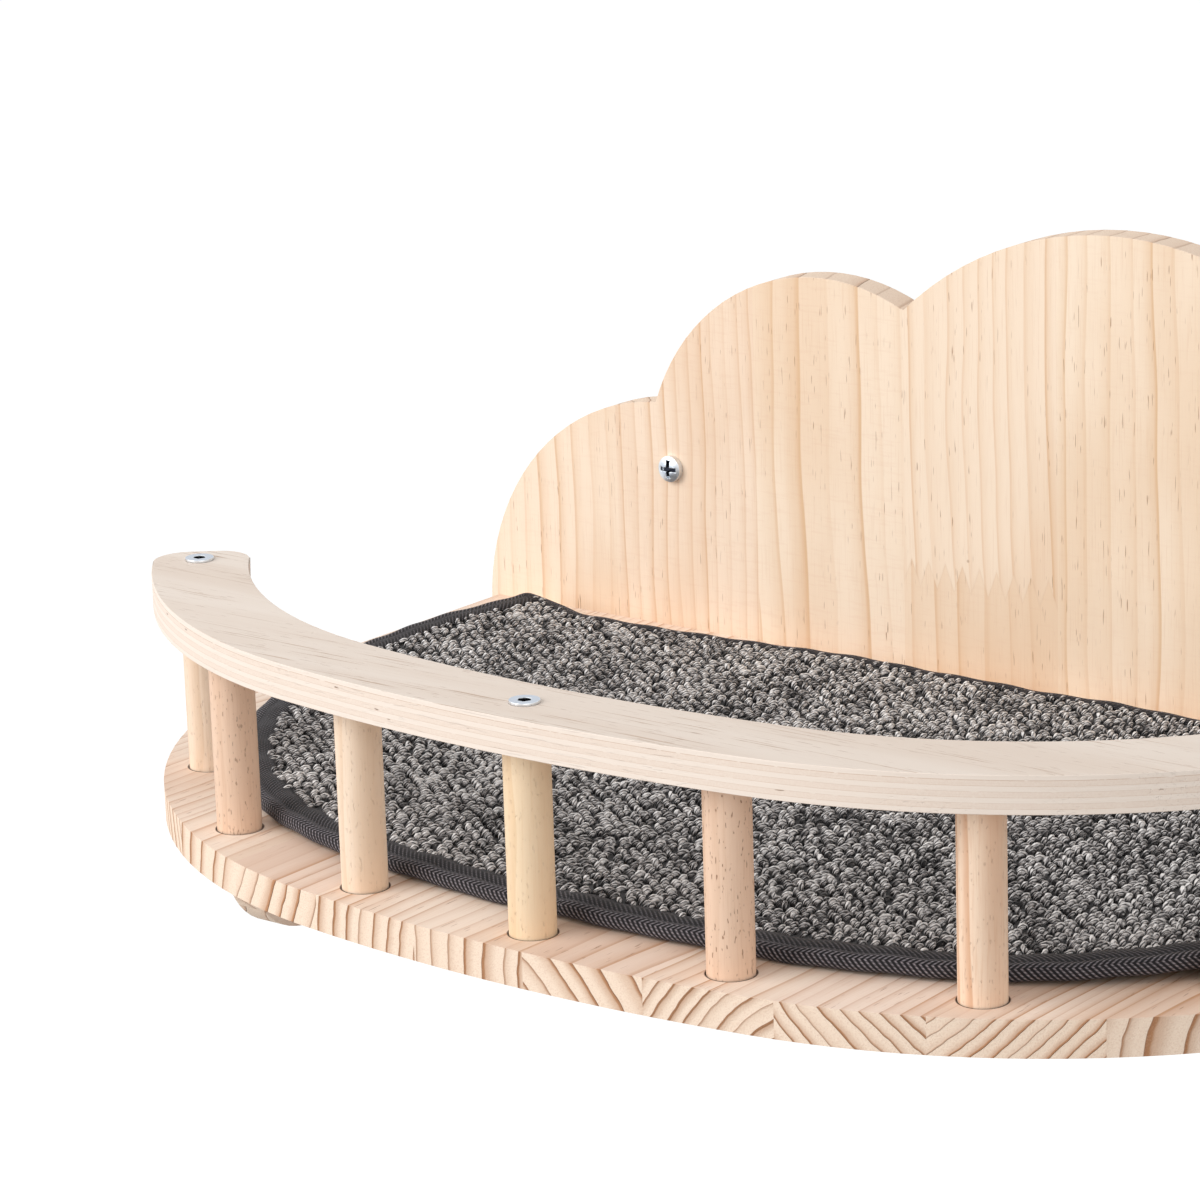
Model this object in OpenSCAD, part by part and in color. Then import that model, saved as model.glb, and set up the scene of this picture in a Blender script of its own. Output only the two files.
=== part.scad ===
// Cat wall shelf: a D-shaped pine board on two brackets, with a cloud-shaped backboard,
// a low curved guard rail on seven round spindles, and a loop-pile mat that lifts off.
// X runs along the wall, Y points into the wall and Z is up, in millimetres.
// The origin lies on the wall plane, midway between the two wall screws.

/* [Shelf board] */
// Width of the shelf board along the wall
shelf_w = 528; // [480:1:600]
// Depth of the shelf board from the backboard to its front edge
shelf_d = 318; // [290:1:360]
// Thickness of the shelf board
shelf_t = 12; // [10:0.5:18]
// Radius of the shallow arc along the front edge
front_r = 600; // [540:1:800]
// Radius of the two front corners
corner_r = 206; // [180:1:225]

/* [Backboard] */
// Width of the cloud-shaped backboard
back_w = 536; // [500:1:600]
// Thickness of the backboard
back_t = 12; // [10:0.5:18]
// Radius of the low lobe at each end
end_lobe_r = 91; // [80:1:100]
// Drop of the end lobes' centres below the shelf top
end_lobe_drop = 4; // [0:1:10]
// Depth of the flat bottom edge below the shelf top
back_drop = 93; // [90:1:93]
// Radius of the lobe left of the main one
side_lobe_r = 83; // [76:1:92]
// Distance of the side lobe's centre left of the middle
side_lobe_x = 105; // [95:1:115]
// Height of the side lobe's centre above the end lobes' centres
side_lobe_rise = 63; // [55:1:70]
// Radius of the main lobe
main_lobe_r = 135; // [125:1:145]
// Distance of the main lobe's centre right of the middle
main_lobe_x = 22; // [10:1:30]
// Height of the main lobe's centre above the end lobes' centres
main_lobe_rise = 38; // [30:1:45]

/* [Guard rail] */
// Width of the rail, seen from above
rail_w = 33; // [28:1:33]
// Thickness of the rail
rail_t = 12; // [10:0.5:18]
// Height of the rail's top above the shelf top
rail_h = 74; // [60:1:110]
// Reach of the rail past the last spindle, and the radius of its end corners
rail_end_r = 11.5; // [10:0.5:13]

/* [Spindles] */
// Diameter of a spindle
spindle_d = 15; // [12:0.5:18]
// Distance of the spindle axes behind the front edge
spindle_inset = 16; // [13:0.5:18]
// Spacing along the curve from the middle spindle to the next
spindle_step_1 = 73; // [60:1:80]
// Spacing along the curve to the second spindle from the middle
spindle_step_2 = 79; // [60:1:85]
// Spacing along the curve to the last spindle
spindle_step_3 = 73; // [60:1:80]
// Depth of the blind sockets in the shelf
shelf_socket = 8; // [5:0.5:9]
// Depth of the blind sockets in the underside of the rail
rail_socket = 5; // [3:0.5:6]
// Gap all round between a spindle and its socket
socket_gap = 0.25; // [0.1:0.05:0.4]

/* [Rail bolts] */
// Thread diameter of the rail bolts
bolt_d = 5; // [4:0.5:6]
// Diameter of the flat bolt heads
bolt_head_d = 9.8; // [9:0.1:12]
// Length of a rail bolt with its head
bolt_len = 20; // [18:1:24]
// Stand of the bolt heads above the rail
bolt_proud = 0.9; // [0.1:0.1:1.2]
// Width of the hexagon socket across its flats
bolt_hex = 4; // [2.5:0.5:4]
// Outside diameter of the threaded inserts in the spindles
insert_d = 8; // [7.5:0.1:10]
// Length of the threaded inserts
insert_len = 12; // [10:1:16]

/* [Brackets] */
// Thickness of a bracket
bracket_t = 12; // [10:0.5:18]
// Length of a bracket from the backboard to its nose
bracket_l = 223; // [205:1:232]
// Height of a bracket at the backboard
bracket_h = 76; // [68:1:78]
// Height of a bracket where its lower arc meets the nose
bracket_nose_h = 48; // [40:1:54]
// Radius of the nose's lower corner
bracket_nose_r = 28; // [16:1:32]
// Distance between the middles of the two brackets
bracket_span = 400; // [392:1:410]

/* [Wall fixing] */
// Distance between the two wall screws
wall_screw_span = 352; // [330:1:370]
// Height of the wall screws above the shelf top
wall_screw_h = 62; // [50:1:70]
// Diameter of a wall screw
wall_screw_d = 4.8; // [4:0.1:5.5]
// Diameter of a wall screw's pan head
wall_head_d = 10; // [8.5:0.1:12]
// Height of a wall screw's pan head
wall_head_h = 3.2; // [2.8:0.1:4.5]
// Length of a wall screw under its head
wall_screw_len = 50; // [40:1:60]

/* [Wood screws and dowels] */
// Diameter of a wood screw
screw_d = 4; // [3:0.5:4.5]
// Diameter of a countersunk screw head
screw_head_d = 8; // [7:0.1:9]
// Length of a wood screw with its head
screw_len = 40; // [30:1:45]
// Diameter of a locating dowel
dowel_d = 6; // [5:0.5:8]
// Length of a locating dowel
dowel_len = 28; // [22:1:32]
// Depth of the dowel holes in the backboard
dowel_seat = 8; // [5:0.5:9]

/* [Mat] */
// Distance of the mat's front behind the front edge of the shelf
mat_inset = 34; // [34:0.5:40]
// Distance of the mat's sides from the side edges of the shelf
mat_side_gap = 19; // [17:0.5:40]
// Gap between the mat's back edge and the backboard
mat_back_gap = 13; // [6:0.5:50]
// Radius of the mat's front corners
mat_corner_r = 206; // [204:1:220]
// Radius of the mat's back corners
mat_back_r = 18; // [18:1:30]
// Height of the loop pile
pile_t = 3; // [2.5:0.5:8]
// Thickness of the backing under the pile
backing_t = 1; // [0.8:0.1:3]
// Width of the binding tape on the mat's top and underside
binding_w = 8; // [6:0.5:9]
// Thickness of the binding tape
binding_t = 0.7; // [0.5:0.1:1]
// Height of the waves along the mat's edge
wave_h = 2.4; // [0:0.1:4]
// Width of a hook or loop strip
strip_w = 25; // [15:1:30]
// Length of a hook or loop strip
strip_len = 120; // [80:1:125]
// Distance between the middles of the two strips
strip_span = 240; // [180:1:250]
// Thickness of the hook strips on the shelf
hook_t = 1.2; // [0.8:0.1:2]
// Thickness of the loop strips on the mat
loop_t = 1; // [0.8:0.1:2]

/* [Hidden] */
$fn = 96;

// Overrun of a cut past the face that it opens
over = 1;
// Gap all round between a screw, bolt, insert or dowel and its hole
hole_gap = 0.05;
// Gap between a bolt or wall screw and the clear hole that it passes through
clear_gap = 0.3;
// Gap between the layers of the mat
layer_gap = 0.2;
// Gap between the hook strips and the loop strips that lie on them
strip_gap = 0.3;

// Colours of the woods, metals, plastics and cloths
pine = [0.93, 0.86, 0.76];
plywood = [0.91, 0.86, 0.81];
spindle_wood = [0.92, 0.85, 0.74];
zinc = [0.75, 0.75, 0.76];
charcoal = [0.36, 0.36, 0.38];
felt = [0.28, 0.28, 0.29];
tape = [0.27, 0.26, 0.31];
strip_black = [0.1, 0.1, 0.11];

// Levels and planes that the pieces share
back_face_y = -back_t;
front_y = back_face_y - shelf_d;
shelf_top_z = -wall_screw_h;
shelf_under_z = shelf_top_z - shelf_t;
rail_top_z = shelf_top_z + rail_h;
rail_under_z = rail_top_z - rail_t;

// The front edge: a shallow arc that runs into two corner arcs, and then straight sides
arc_y = front_y + front_r;
corner_x = shelf_w / 2 - corner_r;
join_a = asin(corner_x / (front_r - corner_r));
corner_y = arc_y - (front_r - corner_r) * cos(join_a);

// Direction at an angle from straight ahead, away from the wall, towards the right
function heading(a) = [sin(a), -cos(a)];
// Angle reached after a length along the curve at the spindles' inset, right of the middle
front_run = (front_r - spindle_inset) * join_a * PI / 180;
function track_a(s) = s <= front_run
    ? s / (front_r - spindle_inset) * 180 / PI
    : join_a + (s - front_run) / (corner_r - spindle_inset) * 180 / PI;
function track_right(s) = s <= front_run
    ? [0, arc_y] + (front_r - spindle_inset) * heading(track_a(s))
    : [corner_x, corner_y] + (corner_r - spindle_inset) * heading(track_a(s));
function flip(p) = [-p[0], p[1]];

// Spindles are numbered from left to right, and the middle one is in the plane X = 0
spindle_runs = [0, spindle_step_1, spindle_step_1 + spindle_step_2,
    spindle_step_1 + spindle_step_2 + spindle_step_3];
middle = len(spindle_runs);
spindle_n = 2 * middle - 1;
function spindle_place(n) = n < middle
    ? flip(track_right(spindle_runs[middle - n]))
    : track_right(spindle_runs[n - middle]);
bolted = [1, middle, spindle_n];
function is_bolted(n) = len(search(n, bolted)) > 0;
rail_end_a = track_a(spindle_runs[middle - 1]);
spindle_foot_z = shelf_top_z - shelf_socket;
spindle_head_z = rail_under_z + rail_socket;
socket_d = spindle_d + 2 * socket_gap;
spindle_chamfer_share = 0.06;
bolt_bore_len = bolt_len - bolt_proud - (rail_top_z - spindle_head_z) + over;

// The lobes of the backboard as centre and radius, from left to right
end_lobe_z = shelf_top_z - end_lobe_drop;
end_lobe_x = back_w / 2 - end_lobe_r;
lobes = [
    [-end_lobe_x, end_lobe_z, end_lobe_r],
    [-side_lobe_x, end_lobe_z + side_lobe_rise, side_lobe_r],
    [main_lobe_x, end_lobe_z + main_lobe_rise, main_lobe_r],
    [end_lobe_x, end_lobe_z, end_lobe_r]
];

// Height of the plain middle of the backboard above the end lobes' centres, as a share of their radius
back_fill_share = 0.3;
back_low_z = shelf_top_z - back_drop;

// A bracket's lower edge is level at the backboard and rises to the nose in one arc
bracket_fall = bracket_h - bracket_nose_h;
bracket_arc_r = (bracket_l * bracket_l + bracket_fall * bracket_fall) / (2 * bracket_fall);
bracket_arc_z = bracket_h - bracket_arc_r;
nose_l = bracket_l - bracket_nose_r;
nose_z = bracket_arc_z + sqrt(pow(bracket_arc_r - bracket_nose_r, 2) - nose_l * nose_l);
nose_a = atan2(nose_z - bracket_arc_z, nose_l);
nose_steps = 10;
bracket_steps = 30;
function turned(a) = [cos(a), sin(a)];

// Places of the screws and dowels, as shares of the pieces that hold them
bracket_top_shares = [0.22, 0.66];
bracket_back_shares = [0.28, 0.76];
shelf_back_shares = [-0.4, -0.12, 0.12, 0.4];
dowel_shares = [-0.22, 0.22];
shelf_mid_z = shelf_top_z - shelf_t / 2;
recess_len_share = 0.56;
recess_w_share = 0.15;
recess_deep_share = 0.22;
tip_share = 0.12;
wall_shank_share = 0.88;
wall_tip_share = 0.16;
wall_recess_share = 0.6;
wall_cross_share = 0.7;
wall_rim_share = 0.7;

// The mat lies on its strips and is cut to the shelf, and its corner rounding ends at its sides
mat_base_z = shelf_top_z + hook_t + strip_gap + loop_t + layer_gap;
mat_side = shelf_w / 2 - mat_side_gap;
mat_front_r = front_r - mat_inset;
mat_corner_share = 0.95;
mat_corner = min(mat_corner_r, mat_side * mat_corner_share);
mat_corner_x = mat_side - mat_corner;
mat_join_a = asin(mat_corner_x / (mat_front_r - mat_corner));
mat_corner_y = arc_y - (mat_front_r - mat_corner) * cos(mat_join_a);
mat_back_y = back_face_y - mat_back_gap;
mat_side_y = mat_back_y - mat_back_r;
mat_side_x = mat_side - mat_back_r;
mat_mid = [0, (front_y + mat_inset + mat_back_y) / 2];
// Steps along the front arc, a front corner, a side, a back corner and half the back edge
mat_steps = [5, 12, 5, 4, 8];

// Points of the right half of the mat's outline, set in by a distance, front to back
function mat_half(inset) = concat(
    [for (i = [0 : mat_steps[0] - 1])
        [0, arc_y] + (mat_front_r - inset) * heading(mat_join_a * i / mat_steps[0])],
    [for (i = [0 : mat_steps[1] - 1])
        [mat_corner_x, mat_corner_y]
            + (mat_corner - inset) * heading(mat_join_a + (90 - mat_join_a) * i / mat_steps[1])],
    [for (i = [0 : mat_steps[2] - 1])
        [mat_side - inset, mat_corner_y + (mat_side_y - mat_corner_y) * i / mat_steps[2]]],
    [for (i = [0 : mat_steps[3] - 1])
        [mat_side_x, mat_side_y] + (mat_back_r - inset) * heading(90 + 90 * i / mat_steps[3])],
    [for (i = [0 : mat_steps[4]]) [mat_side_x * (1 - i / mat_steps[4]), mat_back_y - inset]]
);
function mat_outline(inset) = let (half = mat_half(inset), last = len(half) - 1)
    concat(half, [for (i = [last - 1 : -1 : 1]) flip(half[i])]);
mat_n = len(mat_outline(0));

// Lift of the mat's edge at a point of the outline: two sets of waves round the edge
wave_counts = [6, 11];
wave_shares = [0.62, 0.38];
wave_turns = [40, 200];
function edge_lift(i) = wave_h / 2 * (
    wave_shares[0] * sin(wave_counts[0] * 360 * i / mat_n + wave_turns[0])
    + wave_shares[1] * sin(wave_counts[1] * 360 * i / mat_n + wave_turns[1]));

// Rings of points: the outline set in or shrunk towards the middle, at a height, with the waves
function edge_ring(inset, z) = let (outline = mat_outline(inset))
    [for (i = [0 : mat_n - 1]) [outline[i][0], outline[i][1], z + edge_lift(i)]];
function inner_ring(inset, share, wave_share, z) = let (outline = mat_outline(inset))
    [for (i = [0 : mat_n - 1]) let (p = mat_mid + share * (outline[i] - mat_mid))
        [p[0], p[1], z + wave_share * edge_lift(i)]];
// Shrunk rings as pairs of shares: of the outline's size and of the waves' height
inner_shares = [[0.9, 0.35], [0.76, 0], [0.36, 0]];

// Triangles that join each ring to the next, split along either diagonal
function ring_faces(a, b) = [for (i = [0 : mat_n - 1]) let (j = (i + 1) % mat_n)
    each [[a * mat_n + i, b * mat_n + i, b * mat_n + j], [a * mat_n + i, b * mat_n + j, a * mat_n + j]]];
function ring_faces_out(a, b) = [for (i = [0 : mat_n - 1]) let (j = (i + 1) % mat_n)
    each [[a * mat_n + i, b * mat_n + i, a * mat_n + j], [b * mat_n + i, b * mat_n + j, a * mat_n + j]]];
// Triangles that close a ring onto one middle point
function cap_faces(a, mid) = [for (i = [0 : mat_n - 1]) [a * mat_n + i, a * mat_n + (i + 1) % mat_n, mid]];
function cap_faces_back(a, mid) = [for (t = cap_faces(a, mid)) [t[1], t[0], t[2]]];

// Levels of the mat's layers, and the pile pressed down under its binding
backing_z = mat_base_z + backing_t;
pile_z = backing_z + layer_gap;
pile_edge_share = 0.5;
pile_top_z = pile_z + pile_t;
pile_edge_z = pile_z + pile_t * pile_edge_share;
layer_inset = binding_t + 2 * layer_gap;
pile_inset = binding_w + pile_t;
binding_low_z = mat_base_z - layer_gap;
binding_high_z = pile_edge_z + layer_gap;

module both_sides() {
    children();
    mirror([1, 0, 0]) children();
}

// A pie slice between two headings, twice as long as the radius that it cuts
module slice(centre, a0, a1, r) {
    polygon([
        centre,
        centre + 2 * r * heading(a0),
        centre + 2 * r * heading((a0 + a1) / 2),
        centre + 2 * r * heading(a1)
    ]);
}

module ring(centre, r, w) {
    translate(centre) difference() {
        circle(r);
        if (w < r) circle(r - w);
    }
}

// A band along the front arc and round the corners up to an angle, as wide as w
module front_band(w, end_a) {
    intersection() {
        ring([0, arc_y], front_r, w);
        slice([0, arc_y], -join_a, join_a, front_r);
    }
    both_sides() intersection() {
        ring([corner_x, corner_y], corner_r, w);
        slice([corner_x, corner_y], join_a, end_a, corner_r);
    }
}

module shelf_outline() {
    intersection() {
        translate([0, arc_y]) circle(front_r);
        slice([0, arc_y], -join_a, join_a, front_r);
        translate([-shelf_w / 2, front_y - over]) square([shelf_w, corner_y - front_y + over]);
    }
    both_sides() intersection() {
        translate([corner_x, corner_y]) circle(corner_r);
        slice([corner_x, corner_y], join_a, 90, corner_r);
    }
    translate([-shelf_w / 2, corner_y]) square([shelf_w, back_face_y - corner_y]);
}

// The rounded end of the rail, past the last spindle on the right
module rail_end() {
    translate(track_right(spindle_runs[middle - 1])) rotate(rail_end_a) translate([0, -spindle_inset]) {
        translate([-rail_end_r, rail_end_r]) square([2 * rail_end_r, rail_w - 2 * rail_end_r]);
        for (y = [rail_end_r, rail_w - rail_end_r])
            intersection() {
                translate([0, y]) circle(rail_end_r);
                translate([0, -over]) square([rail_end_r + over, rail_w + 2 * over]);
            }
    }
}

// A countersunk wood screw along -Z, with the face of its head at zero
module wood_screw() {
    cone_h = (screw_head_d - screw_d) / 2;
    recess = screw_head_d * recess_len_share;
    recess_w = screw_head_d * recess_w_share;
    deep = screw_head_d * recess_deep_share;
    difference() {
        union() {
            translate([0, 0, -cone_h]) cylinder(d1 = screw_d, d2 = screw_head_d, h = cone_h);
            translate([0, 0, -screw_len * (1 - tip_share)])
                cylinder(d = screw_d, h = screw_len * (1 - tip_share) - cone_h);
            translate([0, 0, -screw_len]) cylinder(d1 = 0, d2 = screw_d, h = screw_len * tip_share);
        }
        for (a = [0, 90])
            rotate(a) translate([-recess / 2, -recess_w / 2, -deep]) cube([recess, recess_w, deep + over]);
    }
}

// The hole that a wood screw fills, with its countersink
module screw_hole() {
    wide = screw_head_d + 2 * hole_gap;
    narrow = screw_d + 2 * hole_gap;
    cone_h = (wide - narrow) / 2;
    translate([0, 0, -cone_h]) cylinder(d1 = narrow, d2 = wide, h = cone_h);
    translate([0, 0, -screw_len - over]) cylinder(d = narrow, h = screw_len + over - cone_h);
    cylinder(d = wide, h = over);
}

module at_bracket_tops() {
    both_sides()
        for (share = bracket_top_shares)
            translate([bracket_span / 2, back_face_y - bracket_l * share, shelf_top_z]) children();
}

module at_bracket_backs() {
    both_sides()
        for (share = bracket_back_shares)
            translate([bracket_span / 2, 0, shelf_under_z - bracket_h * share])
                rotate([-90, 0, 0]) children();
}

module at_shelf_backs() {
    for (share = shelf_back_shares)
        translate([shelf_w * share, 0, shelf_mid_z]) rotate([-90, 0, 0]) children();
}

module at_wall_screws() {
    both_sides()
        translate([wall_screw_span / 2, back_face_y, 0]) rotate([90, 0, 0]) children();
}

module at_strips(z) {
    both_sides()
        translate([strip_span / 2, mat_mid[1], z]) children();
}

// Dowel pegs or, with a gap, the holes for them
module dowel_pegs(gap) {
    for (share = dowel_shares)
        translate([shelf_w * share, back_face_y + dowel_seat + gap, shelf_mid_z]) rotate([90, 0, 0])
            cylinder(d = dowel_d + 2 * gap, h = dowel_len + 2 * gap);
}

module shelf_board() {
    color(pine) difference() {
        translate([0, 0, shelf_under_z]) linear_extrude(shelf_t) shelf_outline();
        for (n = [1 : spindle_n])
            translate([spindle_place(n)[0], spindle_place(n)[1], spindle_foot_z])
                cylinder(d = socket_d, h = shelf_socket + over);
        at_bracket_tops() screw_hole();
        at_shelf_backs() screw_hole();
        dowel_pegs(hole_gap);
    }
}

// The outline of the backboard from the front, with Z drawn along the second axis
module cloud_outline() {
    span = back_w + 2 * over;
    intersection() {
        union() {
            for (lobe = lobes) translate([lobe[0], lobe[1]]) circle(lobe[2]);
            translate([-end_lobe_x, back_low_z - over])
                square([2 * end_lobe_x, end_lobe_z - back_low_z + over + end_lobe_r * back_fill_share]);
        }
        translate([-span / 2, back_low_z]) square([span, span]);
    }
}

module backboard() {
    color(pine) difference() {
        rotate([90, 0, 0]) linear_extrude(back_t) cloud_outline();
        at_wall_screws() translate([0, 0, -back_t - over])
            cylinder(d = wall_screw_d + 2 * clear_gap, h = back_t + 2 * over);
        at_bracket_backs() screw_hole();
        at_shelf_backs() screw_hole();
        dowel_pegs(hole_gap);
    }
}

module top_rail() {
    sink_d = bolt_head_d + 2 * hole_gap;
    hole_d = bolt_d + 2 * clear_gap;
    sink_h = (sink_d - hole_d) / 2;
    color(plywood) difference() {
        translate([0, 0, rail_under_z]) linear_extrude(rail_t) {
            front_band(rail_w, rail_end_a);
            both_sides() rail_end();
        }
        for (n = [1 : spindle_n])
            translate([spindle_place(n)[0], spindle_place(n)[1], rail_under_z - over])
                cylinder(d = socket_d, h = rail_socket + over);
        for (n = bolted)
            translate([spindle_place(n)[0], spindle_place(n)[1], rail_top_z]) {
                translate([0, 0, -rail_t]) cylinder(d = hole_d, h = rail_t);
                translate([0, 0, -sink_h]) cylinder(d1 = hole_d, d2 = sink_d, h = sink_h);
            }
    }
}

module spindle(n) {
    chamfer = spindle_d * spindle_chamfer_share;
    length = spindle_head_z - spindle_foot_z;
    tip_d = spindle_d - 2 * chamfer;
    color(spindle_wood) translate([spindle_place(n)[0], spindle_place(n)[1], spindle_foot_z]) difference() {
        union() {
            cylinder(d1 = tip_d, d2 = spindle_d, h = chamfer);
            translate([0, 0, chamfer]) cylinder(d = spindle_d, h = length - 2 * chamfer);
            translate([0, 0, length - chamfer]) cylinder(d1 = spindle_d, d2 = tip_d, h = chamfer);
        }
        if (is_bolted(n)) {
            translate([0, 0, length - insert_len])
                cylinder(d = insert_d + 2 * hole_gap, h = insert_len + over);
            translate([0, 0, length - bolt_bore_len])
                cylinder(d = bolt_d + 2 * hole_gap, h = bolt_bore_len);
        }
    }
}

module rail_bolts() {
    head_h = (bolt_head_d - bolt_d) / 2;
    hex_d = bolt_hex / cos(30);
    color(zinc)
        for (n = bolted)
            translate([spindle_place(n)[0], spindle_place(n)[1], rail_top_z + bolt_proud]) difference() {
                union() {
                    translate([0, 0, -bolt_proud]) cylinder(d = bolt_head_d, h = bolt_proud);
                    translate([0, 0, -bolt_proud - head_h])
                        cylinder(d1 = bolt_d, d2 = bolt_head_d, h = head_h);
                    translate([0, 0, -bolt_len]) cylinder(d = bolt_d, h = bolt_len - head_h - bolt_proud);
                }
                translate([0, 0, -head_h]) cylinder(d = hex_d, h = head_h + over, $fn = 6);
            }
}

module rail_inserts() {
    color(zinc)
        for (n = bolted)
            translate([spindle_place(n)[0], spindle_place(n)[1], spindle_head_z - insert_len]) difference() {
                cylinder(d = insert_d, h = insert_len);
                translate([0, 0, -over]) cylinder(d = bolt_d + 2 * hole_gap, h = insert_len + 2 * over);
            }
}

// The side of a bracket: distance from the backboard along X and depth below the shelf along Y
module bracket_side() {
    polygon(concat(
        [[0, 0], [bracket_l, 0]],
        [for (i = [0 : nose_steps])
            [nose_l, nose_z] + bracket_nose_r * turned(nose_a * i / nose_steps)],
        [for (i = [1 : bracket_steps])
            [0, bracket_arc_z] + bracket_arc_r * turned(nose_a + (90 - nose_a) * i / bracket_steps)]
    ));
}

module right_bracket() {
    color(pine) difference() {
        translate([(bracket_span - bracket_t) / 2, back_face_y, shelf_under_z])
            rotate([-90, 0, -90]) linear_extrude(bracket_t) bracket_side();
        at_bracket_tops() screw_hole();
        at_bracket_backs() screw_hole();
    }
}

module left_bracket() {
    mirror([1, 0, 0]) right_bracket();
}

module bracket_top_screws() {
    color(zinc) at_bracket_tops() wood_screw();
}

module bracket_back_screws() {
    color(zinc) at_bracket_backs() wood_screw();
}

module shelf_back_screws() {
    color(zinc) at_shelf_backs() wood_screw();
}

module locating_dowels() {
    color(spindle_wood) dowel_pegs(0);
}

// A pan-head screw along -Z: a rimmed, domed head with a cross recess, a plain shank in the board,
// a wider threaded length beyond it and a tip
module wall_screw() {
    dome_h = wall_head_h * (1 - wall_rim_share);
    dome_r = (wall_head_d * wall_head_d / 4 + dome_h * dome_h) / (2 * dome_h);
    recess = wall_head_d * wall_cross_share;
    recess_w = wall_head_d * recess_w_share;
    deep = wall_head_h * wall_recess_share;
    tip = wall_screw_len * wall_tip_share;
    difference() {
        union() {
            intersection() {
                cylinder(d = wall_head_d, h = wall_head_h);
                translate([0, 0, wall_head_h - dome_r]) sphere(dome_r);
            }
            translate([0, 0, -back_t - over]) cylinder(d = wall_screw_d * wall_shank_share, h = back_t + over);
            translate([0, 0, tip - wall_screw_len])
                cylinder(d = wall_screw_d, h = wall_screw_len - tip - back_t);
            translate([0, 0, -wall_screw_len]) cylinder(d1 = 0, d2 = wall_screw_d, h = tip);
        }
        for (a = [0, 90])
            rotate(a) translate([-recess / 2, -recess_w / 2, wall_head_h - deep])
                cube([recess, recess_w, deep + over]);
    }
}

module wall_screws() {
    color(zinc) at_wall_screws() wall_screw();
}

module hook_strips() {
    color(strip_black) at_strips(shelf_top_z)
        translate([-strip_w / 2, -strip_len / 2, 0]) cube([strip_w, strip_len, hook_t]);
}

module loop_strips() {
    color(strip_black) at_strips(shelf_top_z + hook_t + strip_gap)
        translate([-strip_w / 2, -strip_len / 2, 0]) cube([strip_w, strip_len, loop_t]);
}

// A closed layer of the mat from rings that run out along its underside and back along its top,
// split so that the faces of two layers that lie on each other match
module mat_layer(rings, low_z, high_z) {
    last = len(rings) - 1;
    turn = len(inner_shares) + 1;
    mids = [[mat_mid[0], mat_mid[1], low_z], [mat_mid[0], mat_mid[1], high_z]];
    faces = concat(
        [for (k = [0 : turn - 1]) each ring_faces_out(k, k + 1)],
        [for (k = [turn : last - 1]) each ring_faces(k, k + 1)],
        cap_faces(0, len(rings) * mat_n),
        cap_faces_back(last, len(rings) * mat_n + 1)
    );
    polyhedron(concat([for (r = rings) each r], mids), faces);
}

module mat_backing() {
    color(felt) mat_layer(concat(
        [for (k = [2 : -1 : 0]) inner_ring(pile_inset, inner_shares[k][0], inner_shares[k][1], mat_base_z)],
        [edge_ring(pile_inset, mat_base_z), edge_ring(layer_inset, mat_base_z)],
        [edge_ring(layer_inset, backing_z), edge_ring(pile_inset, backing_z)],
        [for (k = [0 : 2]) inner_ring(pile_inset, inner_shares[k][0], inner_shares[k][1], backing_z)]
    ), mat_base_z, backing_z);
}

module mat_pile() {
    color(charcoal) mat_layer(concat(
        [for (k = [2 : -1 : 0]) inner_ring(pile_inset, inner_shares[k][0], inner_shares[k][1], pile_z)],
        [edge_ring(pile_inset, pile_z), edge_ring(layer_inset, pile_z)],
        [edge_ring(layer_inset, pile_edge_z), edge_ring(binding_w, pile_edge_z)],
        [edge_ring(pile_inset, pile_top_z)],
        [for (k = [0 : 2]) inner_ring(pile_inset, inner_shares[k][0], inner_shares[k][1], pile_top_z)]
    ), pile_z, pile_top_z);
}

// Tape folded round the edge of the mat, drawn as one closed tube with a slot in its inner side
module mat_binding() {
    seat = layer_inset - layer_gap;
    rings = [
        edge_ring(binding_w, binding_low_z - binding_t),
        edge_ring(binding_t, binding_low_z - binding_t),
        edge_ring(0, binding_low_z),
        edge_ring(0, binding_high_z),
        edge_ring(binding_t, binding_high_z + binding_t),
        edge_ring(binding_w, binding_high_z + binding_t),
        edge_ring(binding_w, binding_high_z),
        edge_ring(seat, binding_high_z),
        edge_ring(seat, binding_low_z),
        edge_ring(binding_w, binding_low_z)
    ];
    n = len(rings);
    color(tape)
        polyhedron([for (r = rings) each r], [for (k = [0 : n - 1]) each ring_faces(k, (k + 1) % n)]);
}

shelf_board();
backboard();
top_rail();
for (n = [1 : spindle_n]) spindle(n);
rail_bolts();
rail_inserts();
left_bracket();
right_bracket();
bracket_top_screws();
bracket_back_screws();
shelf_back_screws();
locating_dowels();
wall_screws();
hook_strips();
loop_strips();
mat_backing();
mat_pile();
mat_binding();
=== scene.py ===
import math

import bpy
import numpy as np
from mathutils import Matrix, Vector


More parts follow.
